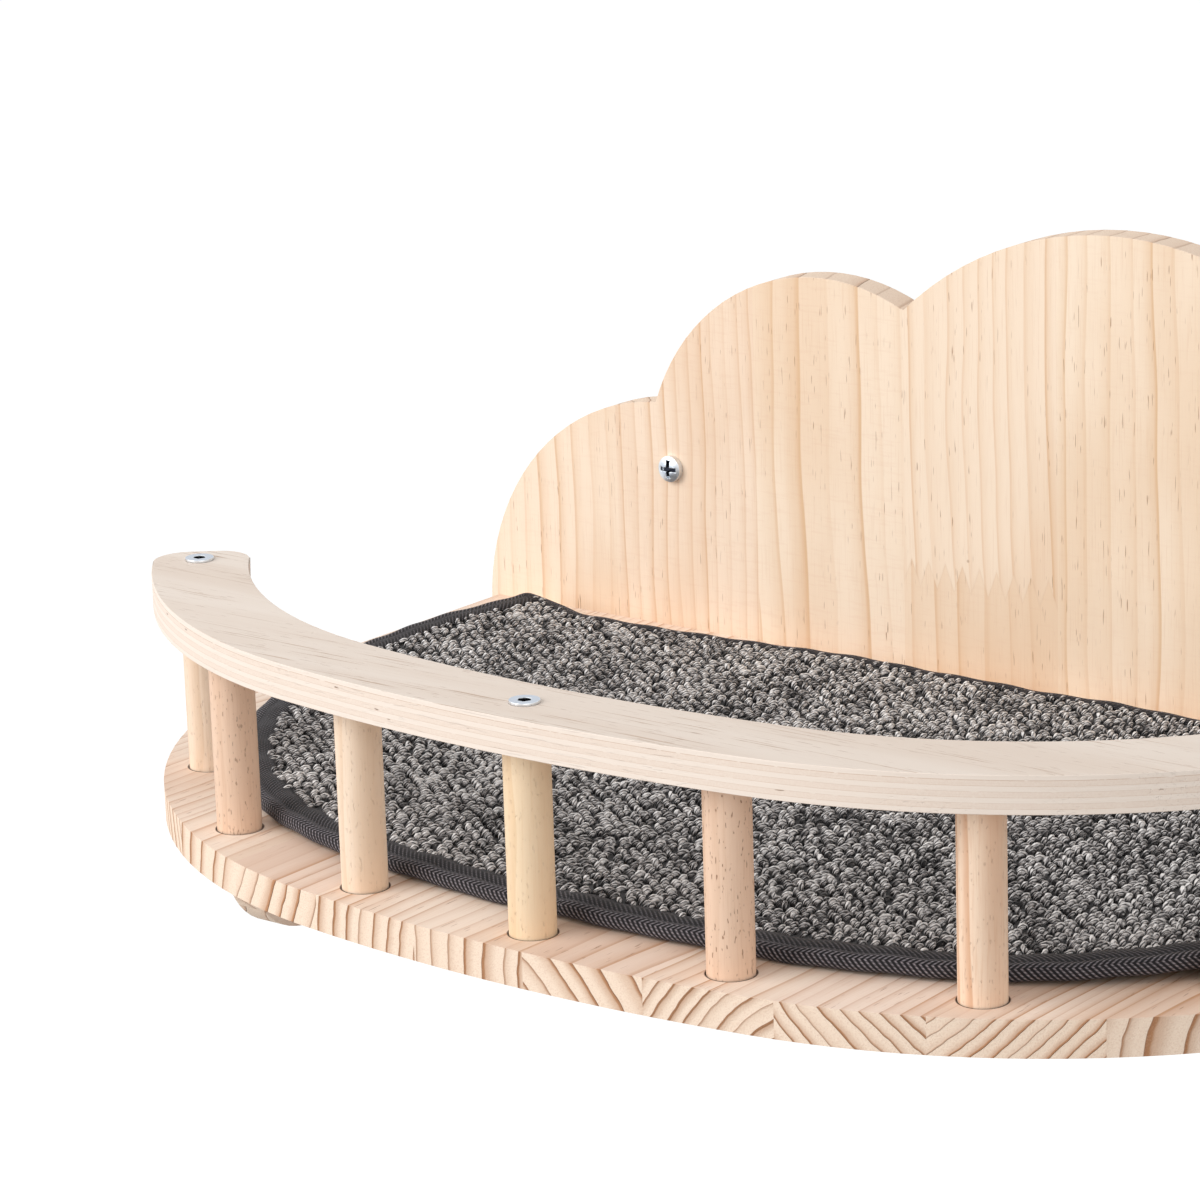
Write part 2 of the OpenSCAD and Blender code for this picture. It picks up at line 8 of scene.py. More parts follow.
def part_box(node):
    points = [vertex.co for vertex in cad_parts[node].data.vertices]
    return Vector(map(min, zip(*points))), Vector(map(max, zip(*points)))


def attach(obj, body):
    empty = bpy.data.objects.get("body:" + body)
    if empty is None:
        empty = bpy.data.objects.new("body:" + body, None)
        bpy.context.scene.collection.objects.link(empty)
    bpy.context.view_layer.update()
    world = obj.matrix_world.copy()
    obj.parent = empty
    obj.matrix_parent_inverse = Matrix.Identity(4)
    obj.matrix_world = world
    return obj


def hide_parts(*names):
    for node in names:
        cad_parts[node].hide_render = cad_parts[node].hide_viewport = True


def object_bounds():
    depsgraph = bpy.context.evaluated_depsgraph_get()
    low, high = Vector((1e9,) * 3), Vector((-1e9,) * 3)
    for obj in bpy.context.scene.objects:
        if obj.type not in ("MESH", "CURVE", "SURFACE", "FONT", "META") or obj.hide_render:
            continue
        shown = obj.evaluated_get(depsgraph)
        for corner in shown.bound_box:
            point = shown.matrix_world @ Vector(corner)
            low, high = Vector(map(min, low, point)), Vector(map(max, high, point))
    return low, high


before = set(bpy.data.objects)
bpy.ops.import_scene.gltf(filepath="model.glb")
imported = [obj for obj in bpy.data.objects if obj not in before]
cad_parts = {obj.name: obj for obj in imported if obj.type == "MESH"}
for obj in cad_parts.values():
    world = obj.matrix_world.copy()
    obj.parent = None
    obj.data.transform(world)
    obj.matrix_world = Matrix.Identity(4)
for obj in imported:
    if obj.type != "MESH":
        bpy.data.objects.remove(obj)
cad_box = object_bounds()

# Sizes are in metres, in the frame of the part: X along the wall, Y into the wall, Z up.
MM = 0.001
TURN = 2 * math.pi
X, Y, Z = 0, 1, 2

# Camera: place, lens and angles that give the photograph's view
CAMERA_POS = Vector((0.8448, -1.32127, 0.4011))
CAMERA_LENS = 135.4
CAMERA_SENSOR = 36.0
CAMERA_YAW = math.radians(38.944)
CAMERA_PITCH = math.radians(15.227)
CAMERA_ROLL = math.radians(-1.877)

# Lights, floor and background
WHITE = (1.0, 1.0, 1.0, 1.0)
AIM = Vector((0.0, -0.16, -0.03))
KEY_POS, KEY_SIZE, KEY_WATTS = Vector((-1.25, -1.85, 1.0)), 1.8, 40.0
FILL_POS, FILL_SIZE, FILL_WATTS = Vector((1.7, -1.5, 0.7)), 1.8, 10.0
SKY_STRENGTH = 0.58
FLOOR_DROP, FLOOR_WIDE = 0.75, 16.0
FLOOR_SHARE, FLOOR_GLOW, FLOOR_MOTTLE = 0.5, 0.72, 1.03

# Middles of the spindles, and which of them take a rail bolt
SPINDLE_MIDS = [sum(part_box("spindle_%d" % n), Vector()) / 2 for n in range(1, 8)]
BOLTED = (0, 3, 6)

# Mat: the outline that it is cut to, the points on each of its lines, and the levels of its layers
SHELF_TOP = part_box("shelf_board")[1].z
MAT_LOW, MAT_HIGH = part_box("mat_binding")
MAT_MID_Y = (MAT_LOW.y + MAT_HIGH.y) / 2
MAT_FRONT = MAT_LOW.y - 6.0 * MM
MAT_SIDE = MAT_HIGH.x + 1.5 * MM
FRONT_R, CORNER_R, BACK_R = 0.573, 0.190, 0.006
FRONT_N, CORNER_N, SIDE_N, BACK_CORNER_N, BACK_N = 60, 120, 60, 24, 80
OUTLINE_N = 900
BACKING_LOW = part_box("mat_backing")[0].z
EDGE_MID = SHELF_TOP + 3.6 * MM
PILE_BASE = SHELF_TOP + 4.4 * MM

# How the mat lies: a stretch of its back edge has slid forward, and its left side runs in at the back.
# Each pair says where an ease along X or Y starts and ends.
DIP, DIP_DEPTH = 7 * MM, 60 * MM
DIP_LEFT, DIP_RIGHT = (-0.235, -0.205), (-0.180, -0.095)
TUCK = 6 * MM
TUCK_AT_LEFT, TUCK_TO_BACK = (-0.20, -0.15), (-0.080, -0.030)

# How far the mat's edge stands off the shelf, in millimetres: all round, in waves (size, number, phase), at
# the right front corner, and along the left side
EDGE_STAND = 0.3
EDGE_WAVES = [(0.25, 9, 0.7), (0.2, 17, 2.0)]
CURL, CURL_X, CURL_Y, CURL_WIDE, CURL_DEEP = 3.5, 0.20, -0.22, 0.045, 0.05
LEFT_STAND = 2.1
STAND_AT_LEFT, STAND_TO_BACK = (-0.24, -0.21), (-0.17, -0.11)
STAND_FADE = 45 * MM

# Loop pile: rows run from front to back
PILE_SEED = 20
LOOP_STEP_X, LOOP_STEP_Y, LOOP_SCATTER = 3.1 * MM, 4.4 * MM, 0.4 * MM
LOOP_RINGS, LOOP_SIDES = 7, 6
LOOP_START, LOOP_END = math.radians(-12), math.radians(192)
YARN_R, YARN_AT_FOOT, YARN_SWELL = 0.84 * MM, 0.80, 0.25
LOOP_HALF, LOOP_RISE = 1.95 * MM, 1.4 * MM
PILE_INSET, BACK_PILE_INSET = 11.0 * MM, 5.0 * MM

# What each loop draws, as mean and spread: shares of its size, and angles in radians
LOOP_WIDE, LOOP_LONG, LOOP_TALL = (1.0, 0.10), (1.06, 0.14), (1.0, 0.13)
LOOP_TALL_LIMITS = (0.7, 1.25)
LOOP_TURN, LOOP_LEAN = (0.16, 0.22), (0.0, 0.16)

# Loops are lower beside the tape: their share there, their gain, and its run
EDGE_TALL, EDGE_TALL_GAIN, EDGE_TALL_RUN = 0.78, 0.22, 9 * MM

# Grey of a loop: base, parts of broad and close patches, its own spread, and the patches' sizes
TONE_BASE, TONE_BROAD, TONE_CLOSE, TONE_SPREAD = 0.35, 0.18, 0.26, 0.15
BROAD_PATCH, CLOSE_PATCH = 26 * MM, 8 * MM
PATCH_GRID = 80

# Felt backing: its inset, which outline points it takes, and its rings as shares
BACKING_INSET, BACKING_STRIDE = 1.3 * MM, 3
BACKING_SHARES = [1.0, 0.93, 0.8, 0.6, 0.35, 0.12]

# Hook-and-loop strips: the bands and the tufts on them
STRIP_SEED = 31
STRIP_W, STRIP_CORNER_R, STRIP_OUTLINE_N, BAND_T = 25 * MM, 2 * MM, 24, 0.45 * MM
TUFT_STEP, TUFT_INSET, TUFT_RINGS, TUFT_SIDES = 1.9 * MM, 1.5 * MM, 6, 4
TUFT_R, TUFT_HALF = 0.15 * MM, 0.5 * MM
TUFT_TURN, TUFT_TALL = 0.35, (0.7, 1.0)

# Binding tape: inset from the outline and height over the edge's middle, in millimetres, from the top flap
# round the fold
TAPE_PROFILE = [
    (13.0, 1.4), (11.0, 2.2), (8.6, 2.5), (6.4, 2.3), (5.2, 1.7), (4.2, 2.0), (2.6, 2.1), (1.2, 1.4),
    (0.3, 0.2), (0.0, -1.0), (0.3, -2.1), (1.2, -2.8), (3.0, -3.1), (6.0, -3.1), (9.0, -3.0),
]
TAPE_T, TAPE_CLEARANCE = 0.6 * MM, 0.15 * MM
FLAP_START = 4.2 * MM
BACK_FLAP_SHARE = 0.35
TAPE_RIPPLE, TAPE_RIPPLES, RIPPLE_BELOW = 0.25 * MM, 61, 0.2

# Bevels: gaps that are welded, bends that count as flat, and bends that get a bevel
WELD_GAP = 0.005 * MM
FLAT_BEND = math.radians(0.5)
ARRIS_BEND = math.radians(35)
BEVEL_SEGMENTS = 2


def srgb(r, g, b):
    """A colour given as 0 to 255 screen values, as linear RGBA."""
    def linear(c):
        c /= 255
        return c / 12.92 if c <= 0.04045 else ((c + 0.055) / 1.055) ** 2.4
    return (linear(r), linear(g), linear(b), 1.0)


def grey(level):
    return (level, level, level, 1.0)


class Graph:
    """A node material, with short calls for the nodes that the materials below use."""

    def __init__(self, name):
        self.material = bpy.data.materials.new(name)
        self.material.use_nodes = True
        self.tree = self.material.node_tree
        self.tree.nodes.clear()
        self.shader = self.node("ShaderNodeBsdfPrincipled")
        output = self.node("ShaderNodeOutputMaterial")
        self.tree.links.new(self.shader.outputs[0], output.inputs["Surface"])

    def node(self, kind, **props):
        made = self.tree.nodes.new(kind)
        for key, value in props.items():
            setattr(made, key, value)
        return made

    def put(self, socket, value):
        if isinstance(value, bpy.types.NodeSocket):
            self.tree.links.new(value, socket)
        else:
            socket.default_value = value

    def set(self, name, value):
        self.put(self.shader.inputs[name], value)

    def math(self, op, a, b=0.0, c=0.0):
        made = self.node("ShaderNodeMath", operation=op)
        for socket, value in zip(made.inputs, (a, b, c)):
            self.put(socket, value)
        return made.outputs[0]

    def add(self, a, b):
        return self.math("ADD", a, b)

    def sub(self, a, b):
        return self.math("SUBTRACT", a, b)

    def mul(self, a, b):
        return self.math("MULTIPLY", a, b)

    def length(self, a, b):
        """The length of two offsets at right angles."""
        return self.math("SQRT", self.add(self.mul(a, a), self.mul(b, b)))

    def smooth(self, x, low, high):
        """0 up to low, 1 from high on."""
        made = self.node("ShaderNodeMapRange", interpolation_type="SMOOTHSTEP")
        for socket, value in zip(made.inputs, (x, low, high, 0.0, 1.0)):
            self.put(socket, value)
        return made.outputs[0]

    def fall(self, x, low, high):
        """1 up to low, 0 from high on."""
        return self.sub(1.0, self.smooth(x, low, high))

    def mix(self, share, a, b):
        made = self.node("ShaderNodeMix", data_type="RGBA", blend_type="MIX")
        self.put(made.inputs["Factor"], share)
        self.put(made.inputs[6], a)
        self.put(made.inputs[7], b)
        return made.outputs[2]

    def tint(self, base, colour, where, amount):
        """A colour laid over a base by an amount, where a mask says so."""
        return self.mix(self.mul(where, amount), base, colour)

    def ramp(self, x, stops):
        made = self.node("ShaderNodeValToRGB")
        elements = made.color_ramp.elements
        while len(elements) < len(stops):
            elements.new(0.5)
        for element, (place, colour) in zip(elements, stops):
            element.position = place
            element.color = colour
        self.put(made.inputs[0], x)
        return made.outputs[0]

    def combine(self, x, y, z):
        made = self.node("ShaderNodeCombineXYZ")
        for socket, value in zip(made.inputs, (x, y, z)):
            self.put(socket, value)
        return made.outputs[0]

    def add_key(self, vector, key):
        """Moves a texture vector by a key, so that pieces with other keys get other noise."""
        made = self.node("ShaderNodeVectorMath", operation="ADD")
        self.put(made.inputs[0], vector)
        self.put(made.inputs[1], self.combine(key, key, key))
        return made.outputs[0]

    def split(self, vector):
        made = self.node("ShaderNodeSeparateXYZ")
        self.put(made.inputs[0], vector)
        return made.outputs[0], made.outputs[1], made.outputs[2]

    def place(self):
        return self.split(self.node("ShaderNodeTexCoord").outputs["Object"])

    def normal(self):
        return self.split(self.node("ShaderNodeNewGeometry").outputs["Normal"])

    def uv(self, name):
        u, v, _ = self.split(self.node("ShaderNodeUVMap", uv_map=name).outputs[0])
        return u, v

    def noise(self, vector, scale=1.0, detail=2.0, rough=0.5):
        made = self.node("ShaderNodeTexNoise")
        self.put(made.inputs["Vector"], vector)
        made.inputs["Scale"].default_value = scale
        made.inputs["Detail"].default_value = detail
        made.inputs["Roughness"].default_value = rough
        return made.outputs[0]

    def chance(self, key, salt):
        """A random number from 0 to 1, by key and salt."""
        made = self.node("ShaderNodeTexWhiteNoise", noise_dimensions="1D")
        self.put(made.inputs["W"], self.add(key, salt))
        return made.outputs["Value"]

    def bump(self, height, distance):
        made = self.node("ShaderNodeBump")
        made.inputs["Distance"].default_value = distance
        self.put(made.inputs["Height"], height)
        self.set("Normal", made.outputs[0])


def stretched(g, axes, axis, across, along):
    """Object coordinates times one number across an axis and another along it."""
    return g.combine(*[g.mul(axes[k], along if k == axis else across) for k in (X, Y, Z)])


# Glued panels: the axes of the grain and of the row of staves, a stave's width and the place of one joint,
# the middle of its thickness, the ring spacing, the strength of the faintest rings, how far the pith turns
# out of the panel's plane in radians, the depth of the end grain's colour, the stave and level of a finger
# joint, and the colours of early and late wood
SHELF_PANEL = dict(seed=3.0, grain=Y, across=X, stave=44.5 * MM, start=8.5 * MM, mid=-68 * MM,
                   ring=5.5 * MM, faint=0.22, tilt=0.8, end_shade=1.0, finger_joint=None,
                   early=(srgb(252, 233, 216), srgb(249, 226, 210)),
                   late=(srgb(208, 163, 128), srgb(202, 154, 121)))
BACK_PANEL = dict(seed=11.0, grain=Z, across=X, stave=66.5 * MM, start=-3.5 * MM, mid=-6 * MM,
                  ring=7.5 * MM, faint=0.2, tilt=0.7, end_shade=0.4, finger_joint=(-1.0, -20 * MM),
                  early=(srgb(254, 233, 209), srgb(251, 226, 203)),
                  late=(srgb(231, 193, 154), srgb(226, 184, 148)))
BRACKET_PANEL = dict(seed=23.0, grain=Y, across=Z, stave=43 * MM, start=-74 * MM, mid=0.2,
                     ring=5.0 * MM, faint=0.3, tilt=0.9, end_shade=0.5, finger_joint=None,
                     early=SHELF_PANEL["early"], late=SHELF_PANEL["late"])

# Steps between the keys of staves, splices and rings, and the salt of each thing drawn
STAVE_KEY, SPLICE_KEY, RING_KEY = 13.7, 5.3, 3.1
SALT = dict(angle=1.3, reach=2.1, pitch=3.7, tone=4.4, strength=5.9, flip=6.2, ripple=8.8)

# Finger joint: the step and depth of its teeth, and where its glue line starts and ends to fade
TOOTH_STEP, TOOTH_DEPTH = 7.4 * MM, 10 * MM
SEAM_FULL, SEAM_NONE = 0.5 * MM, 1.6 * MM

# Growth rings: the pith's least distance and its spread, how much the lines wander, wobble and crowd, and
# the least share of the ring spacing
PITH_NEAR, PITH_SPREAD = 0.055, 0.07
RING_WANDER, RING_WOBBLE, RING_UNEVEN = 18 * MM, 1.2 * MM, 1.2
PITCH_LEAST = 0.65

# Painted shade in the gap round a spindle: where it starts and ends to fade, and its depth
RIM_FULL, RIM_NONE, RIM_DEPTH = 7.9 * MM, 8.4 * MM, 4 * MM

# Colours of pine beside those of the panels
PINE_FIBRE = srgb(214, 168, 130)
PINE_RIPPLE = srgb(220, 168, 136)
RESIN = srgb(150, 96, 58)
KNOT = srgb(158, 108, 70)
END_PALE, END_BAND = srgb(249, 226, 204), srgb(186, 135, 97)
END_LINE, END_FUZZ = srgb(150, 103, 72), srgb(214, 172, 146)
SPLICE_TINT, SEAM_BROWN = srgb(228, 186, 138), srgb(176, 126, 84)
# Painted shade for the gap round each spindle
SOCKET_SHADE = srgb(74, 50, 34)


def stave_key(g, axes, panel):
    """Place across the stave, key of the piece of stave, what is spliced on, and the seam."""
    side = axes[panel["across"]]
    step = g.math("DIVIDE", g.sub(side, panel["start"]), panel["stave"])
    index = g.math("FLOOR", step)
    within = g.mul(g.sub(g.math("FRACT", step), 0.5), panel["stave"])
    key = g.add(g.mul(index, STAVE_KEY), panel["seed"])
    spliced, seam = 0.0, 0.0
    if panel["finger_joint"]:
        stave, place = panel["finger_joint"]
        tooth = g.math("PINGPONG", g.math("DIVIDE", side, TOOTH_STEP), 0.5)
        finger = g.mul(tooth, 2 * TOOTH_DEPTH)
        level = g.sub(g.add(axes[panel["grain"]], finger), place)
        here = g.math("COMPARE", index, stave, 0.5)
        spliced = g.mul(g.math("LESS_THAN", level, 0.0), here)
        seam = g.mul(g.fall(g.math("ABSOLUTE", level), SEAM_FULL, SEAM_NONE), here)
        key = g.add(key, g.mul(spliced, SPLICE_KEY))
    return within, key, spliced, seam


def growth_rings(g, axes, panel, within, key):
    """Share of latewood and ring phase, for a panel of sawn staves."""
    grain, across = panel["grain"], panel["across"]
    through = axes[X + Y + Z - grain - across]
    if across == Z:  # the two brackets are mirror images
        through = g.math("ABSOLUTE", through)
    depth = g.sub(through, panel["mid"])
    flip = g.mul(g.math("ROUND", g.chance(key, SALT["flip"])), TURN / 2)
    angle = g.add(g.mul(g.sub(g.chance(key, SALT["angle"]), 0.5), 2 * panel["tilt"]), flip)
    reach = g.add(g.mul(g.chance(key, SALT["reach"]), PITH_SPREAD), PITH_NEAR)
    drift = g.noise(g.add_key(stretched(g, axes, grain, across=9.0, along=6.0), key))
    wander = g.mul(g.sub(drift, 0.5), RING_WANDER)
    from_x = g.add(g.sub(within, g.mul(reach, g.math("COSINE", angle))), wander)
    from_y = g.sub(depth, g.mul(reach, g.math("SINE", angle)))
    wobble = g.mul(g.noise(stretched(g, axes, grain, across=170.0, along=12.0), detail=1.0), RING_WOBBLE)
    radius = g.add(g.length(from_x, from_y), wobble)
    uneven = g.mul(g.noise(g.combine(g.mul(radius, 60.0), key, 0.0), detail=1.0), RING_UNEVEN)
    pitch = g.mul(g.add(g.chance(key, SALT["pitch"]), PITCH_LEAST), panel["ring"])
    rings = g.add(g.math("DIVIDE", radius, pitch), uneven)
    phase = g.math("FRACT", rings)
    draw = g.chance(g.add(key, g.mul(g.math("FLOOR", rings), RING_KEY)), SALT["strength"])
    strength = g.add(g.mul(draw, 1.0 - panel["faint"]), panel["faint"])
    slope = g.mul(g.smooth(phase, 0.3, 0.95), 0.50)
    line = g.mul(g.smooth(phase, 0.78, 0.92), 0.50)
    late = g.mul(g.add(slope, line), g.fall(phase, 0.95, 0.99))
    return g.mul(late, strength), phase


def resin_dashes(g, axes, grain, phase):
    """Short brown strokes along the grain, in columns beside the growth lines."""
    dashes = g.noise(stretched(g, axes, grain, across=1500.0, along=110.0), detail=1.0)
    patch = g.noise(stretched(g, axes, grain, across=45.0, along=9.0), detail=1.0)
    some = g.mul(g.smooth(patch, 0.36, 0.50), g.smooth(phase, 0.1, 0.5))
    return g.mul(g.smooth(dashes, 0.665, 0.72), some)


def pin_knots(g, axes):
    cells = g.node("ShaderNodeTexVoronoi")
    g.put(cells.inputs["Vector"], g.combine(*axes))
    cells.inputs["Scale"].default_value = 30.0
    knot = g.fall(cells.outputs["Distance"], 0.014, 0.032)
    kept = g.math("GREATER_THAN", g.split(cells.outputs["Color"])[0], 0.72)
    return g.mul(knot, kept)


def pine_face(g, axes, panel, late, phase, key, fibre):
    """Colour of the faces that run along the grain."""
    grain = panel["grain"]
    tone = g.chance(key, SALT["tone"])
    pale = g.mix(tone, *panel["early"])
    dark = g.mix(tone, *panel["late"])
    cloud = g.noise(stretched(g, axes, grain, across=38.0, along=5.0), detail=3.0)
    blush = g.smooth(g.noise(stretched(g, axes, grain, across=22.0, along=7.0)), 0.42, 0.66)
    pale = g.tint(pale, dark, blush, 0.35)
    face = g.tint(pale, dark, late, g.add(g.mul(cloud, 1.1), 0.45))
    face = g.tint(face, PINE_FIBRE, g.smooth(fibre, 0.50, 0.72), 0.18)
    ripple = g.noise(stretched(g, axes, grain, across=110.0, along=900.0))
    rippled_stave = g.smooth(g.chance(key, SALT["ripple"]), 0.35, 0.7)
    face = g.tint(face, PINE_RIPPLE, g.mul(g.smooth(ripple, 0.52, 0.7), rippled_stave), 0.08)
    face = g.tint(face, RESIN, resin_dashes(g, axes, grain, phase), 0.65)
    return g.tint(face, KNOT, pin_knots(g, axes), 0.7)


def pine_end(g, late, phase, speck, shade):
    """Colour of end grain: pale early wood between thin brown lines, with a fuzz of cut fibres."""
    band = g.math("MINIMUM", g.mul(late, 1.5), 1.0)
    end = g.tint(END_PALE, END_BAND, band, shade)
    line = g.mul(g.smooth(phase, 0.85, 0.94), g.fall(phase, 0.96, 0.99))
    end = g.tint(end, END_LINE, line, 0.5 * shade)
    return g.tint(end, END_FUZZ, g.smooth(speck, 0.45, 0.75), 0.30)


def painted_socket_shade(g, axes, colour, sockets):
    """Painted shade in the gap round each spindle, near the top of the board."""
    upper = g.math("GREATER_THAN", axes[Z], SHELF_TOP - RIM_DEPTH)
    for x, y in sockets:
        away = g.length(g.sub(axes[X], x), g.sub(axes[Y], y))
        rim_shade = g.mul(g.fall(away, RIM_FULL, RIM_NONE), upper)
        colour = g.mix(rim_shade, colour, SOCKET_SHADE)
    return colour


def pine(name, panel, sockets=()):
    """Bare glued pine: staves with their own growth rings, resin dashes, pin knots and ridged end grain."""
    g = Graph(name)
    axes = g.place()
    within, key, spliced, seam = stave_key(g, axes, panel)
    late, phase = growth_rings(g, axes, panel, within, key)
    fibre = g.noise(stretched(g, axes, panel["grain"], across=1500.0, along=45.0), detail=3.0, rough=0.6)
    speck = g.noise(g.combine(*axes), scale=1900.0)
    face = pine_face(g, axes, panel, late, phase, key, fibre)
    face = g.tint(face, SPLICE_TINT, spliced, 0.18)
    face = g.tint(face, SEAM_BROWN, g.mul(seam, fibre), 0.12)
    end = pine_end(g, late, phase, speck, panel["end_shade"])
    endness = g.smooth(g.math("ABSOLUTE", g.normal()[panel["grain"]]), 0.25, 0.55)
    # The shelf's colour takes painted shade in the gap round each spindle
    g.set("Base Color", painted_socket_shade(g, axes, g.mix(endness, face, end), sockets))
    g.set("Roughness", g.add(g.mul(endness, 0.22), g.add(g.mul(fibre, 0.12), 0.50)))
    g.set("Specular IOR Level", 0.28)
    ridge = g.mul(g.add(late, g.mul(speck, 0.35)), endness)
    smooth_face = g.mul(g.mul(fibre, 0.10), g.sub(1.0, endness))
    g.bump(g.add(ridge, smooth_face), 0.55 * MM)
    return g.material


# Plywood: its plies, how wavy they lie, and the colours of its veneer and edge
PLIES, PLY_WAVE = 7.0, 0.22
VENEER_PALE, VENEER_DARK = srgb(240, 227, 215), srgb(232, 216, 202)
VENEER_STREAK, VENEER_DASH = srgb(178, 142, 112), srgb(150, 112, 82)
LONG_PLY = (srgb(245, 232, 220), srgb(236, 219, 204))
CROSS_PLY = (srgb(242, 227, 213), srgb(230, 209, 193))
GLUE_LINE, PLY_VOID = srgb(192, 156, 128), srgb(150, 116, 90)


def veneer_top(g, axes):
    """Colour of the rail's veneer, and where its streaks are."""
    cloud = g.noise(stretched(g, axes, X, across=55.0, along=4.0), detail=3.0)
    top = g.mix(g.smooth(cloud, 0.35, 0.7), VENEER_PALE, VENEER_DARK)
    streaks = g.noise(stretched(g, axes, X, across=1400.0, along=26.0))
    patch = g.noise(stretched(g, axes, X, across=60.0, along=12.0), detail=1.0)
    streak = g.mul(g.smooth(streaks, 0.60, 0.70), g.smooth(patch, 0.35, 0.62))
    top = g.tint(top, VENEER_STREAK, streak, 0.7)
    dashes = g.noise(stretched(g, axes, X, across=1500.0, along=120.0), detail=1.0)
    dash = g.mul(g.smooth(dashes, 0.67, 0.73), g.smooth(patch, 0.35, 0.5))
    return g.tint(top, VENEER_DASH, dash, 0.45), streak


def ply_edge(g, axes, fibre):
    """Colour of the rail's edge, in plies of two kinds, and where its voids are."""
    low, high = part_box("top_rail")
    height = g.mul(g.math("DIVIDE", g.sub(axes[Z], low.z), high.z - low.z), PLIES)
    wave = g.mul(g.sub(g.noise(g.combine(*axes), scale=26.0), 0.5), PLY_WAVE)
    level = g.add(height, wave)
    ply = g.math("FLOOR", level)
    cross = g.mul(g.math("FRACT", g.mul(ply, 0.5)), 2.0)
    grit = g.noise(g.combine(*axes), scale=1500.0)
    long_ply = g.mix(g.mul(fibre, 0.8), *LONG_PLY)
    cross_ply = g.mix(g.mul(grit, 0.9), *CROSS_PLY)
    edge = g.mix(cross, long_ply, cross_ply)
    ragged = g.noise(g.combine(g.mul(axes[X], 300.0), g.mul(axes[Y], 300.0), ply))
    glue = g.mul(g.fall(g.math("FRACT", level), 0.04, 0.14), g.smooth(ragged, 0.30, 0.46))
    under_top = g.math("COMPARE", ply, PLIES - 1.0, 0.5)
    edge = g.tint(edge, GLUE_LINE, glue, g.add(g.mul(under_top, 0.38), 0.34))
    voids = g.noise(stretched(g, axes, Z, across=160.0, along=700.0), detail=1.0)
    void = g.mul(g.smooth(voids, 0.75, 0.80), cross)
    return g.tint(edge, PLY_VOID, void, 0.8), void


def plywood(name):
    """Plywood: a pale veneer with fine streaks, and an edge of thin plies with a few voids."""
    g = Graph(name)
    axes = g.place()
    fibre = g.noise(stretched(g, axes, Z, across=70.0, along=1700.0))
    top, streak = veneer_top(g, axes)
    edge, void = ply_edge(g, axes, fibre)
    flat = g.smooth(g.math("ABSOLUTE", g.normal()[Z]), 0.62, 0.86)
    g.set("Base Color", g.mix(flat, edge, top))
    g.set("Roughness", g.add(g.mul(fibre, 0.15), 0.48))
    g.set("Specular IOR Level", 0.3)
    g.bump(g.sub(g.mul(fibre, 0.2), g.add(void, g.mul(streak, 0.4))), 0.25 * MM)
    return g.material


# Rods: the pith's least distance and its spread along X and Y, and the rings' spacing and wander
ROD_PITH, ROD_PITH_X, ROD_PITH_Y = 4 * MM, 20 * MM, 12 * MM
ROD_RING, ROD_WANDER = 4.3 * MM, 6 * MM
ROD_FLECK = srgb(136, 92, 62)

# Looks of the rods: seed, pale and dark wood, strength of the flecks and of the growth lines
CREAM, TAN = srgb(246, 222, 198), srgb(228, 195, 163)
BEECH, BROWN = srgb(237, 204, 178), srgb(212, 171, 140)
ROD_LOOKS = {
    "spindle_1": (1.0, CREAM, TAN, 0.1, 0.5),
    "spindle_2": (2.0, BEECH, BROWN, 0.45, 0.25),
    "spindle_3": (3.0, CREAM, TAN, 0.1, 0.55),
    "spindle_4": (4.0, srgb(246, 220, 186), srgb(234, 199, 158), 0.05, 0.6),
    "spindle_5": (5.0, BEECH, BROWN, 0.7, 0.25),
    "spindle_6": (6.0, srgb(248, 220, 194), srgb(216, 164, 126), 0.15, 0.7),
    "spindle_7": (7.0, CREAM, TAN, 0.1, 0.5),
}
DOWEL_LOOK = (9.0, CREAM, TAN, 0.2, 0.4)


def rod(name, seed, pale, dark, flecks, lines):
    """A turned rod with grain along Z: soft stripes of growth rings, fine fibres and short dark flecks."""
    g = Graph(name)
    axes = g.place()
    mid = sum(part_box(name), Vector()) / 2
    draw = g.chance(0.0, seed)
    x = g.add(g.sub(axes[X], mid.x), g.add(g.mul(draw, ROD_PITH_X), ROD_PITH))
    y = g.sub(g.sub(axes[Y], mid.y), g.mul(draw, ROD_PITH_Y))
    wander = g.mul(g.sub(g.noise(stretched(g, axes, Z, across=9.0, along=12.0)), 0.5), ROD_WANDER)
    radius = g.add(g.length(x, y), wander)
    phase = g.math("FRACT", g.math("DIVIDE", radius, ROD_RING))
    late = g.mul(g.smooth(phase, 0.3, 0.92), g.fall(phase, 0.94, 1.0))
    fibre = g.noise(stretched(g, axes, Z, across=1600.0, along=60.0), detail=3.0, rough=0.6)
    colour = g.tint(pale, dark, late, lines)
    colour = g.tint(colour, dark, g.smooth(fibre, 0.45, 0.75), 0.35)
    fleck = g.smooth(g.noise(stretched(g, axes, Z, across=1500.0, along=420.0), detail=1.0), 0.66, 0.73)
    g.set("Base Color", g.tint(colour, ROD_FLECK, fleck, flecks))
    g.set("Roughness", g.add(g.mul(fibre, 0.18), 0.42))
    g.set("Specular IOR Level", 0.35)
    g.bump(g.sub(g.mul(fibre, 0.35), fleck), 0.15 * MM)
    return g.material


# Zinc plating: its greys, a painted reflection on flat heads, and painted shade in drive recesses
ZINC_DARK, ZINC_PALE = srgb(206, 212, 219), srgb(240, 243, 246)
ZINC_HEAD_REFLECTION, RECESS_SHADE = srgb(188, 198, 212), srgb(44, 47, 56)


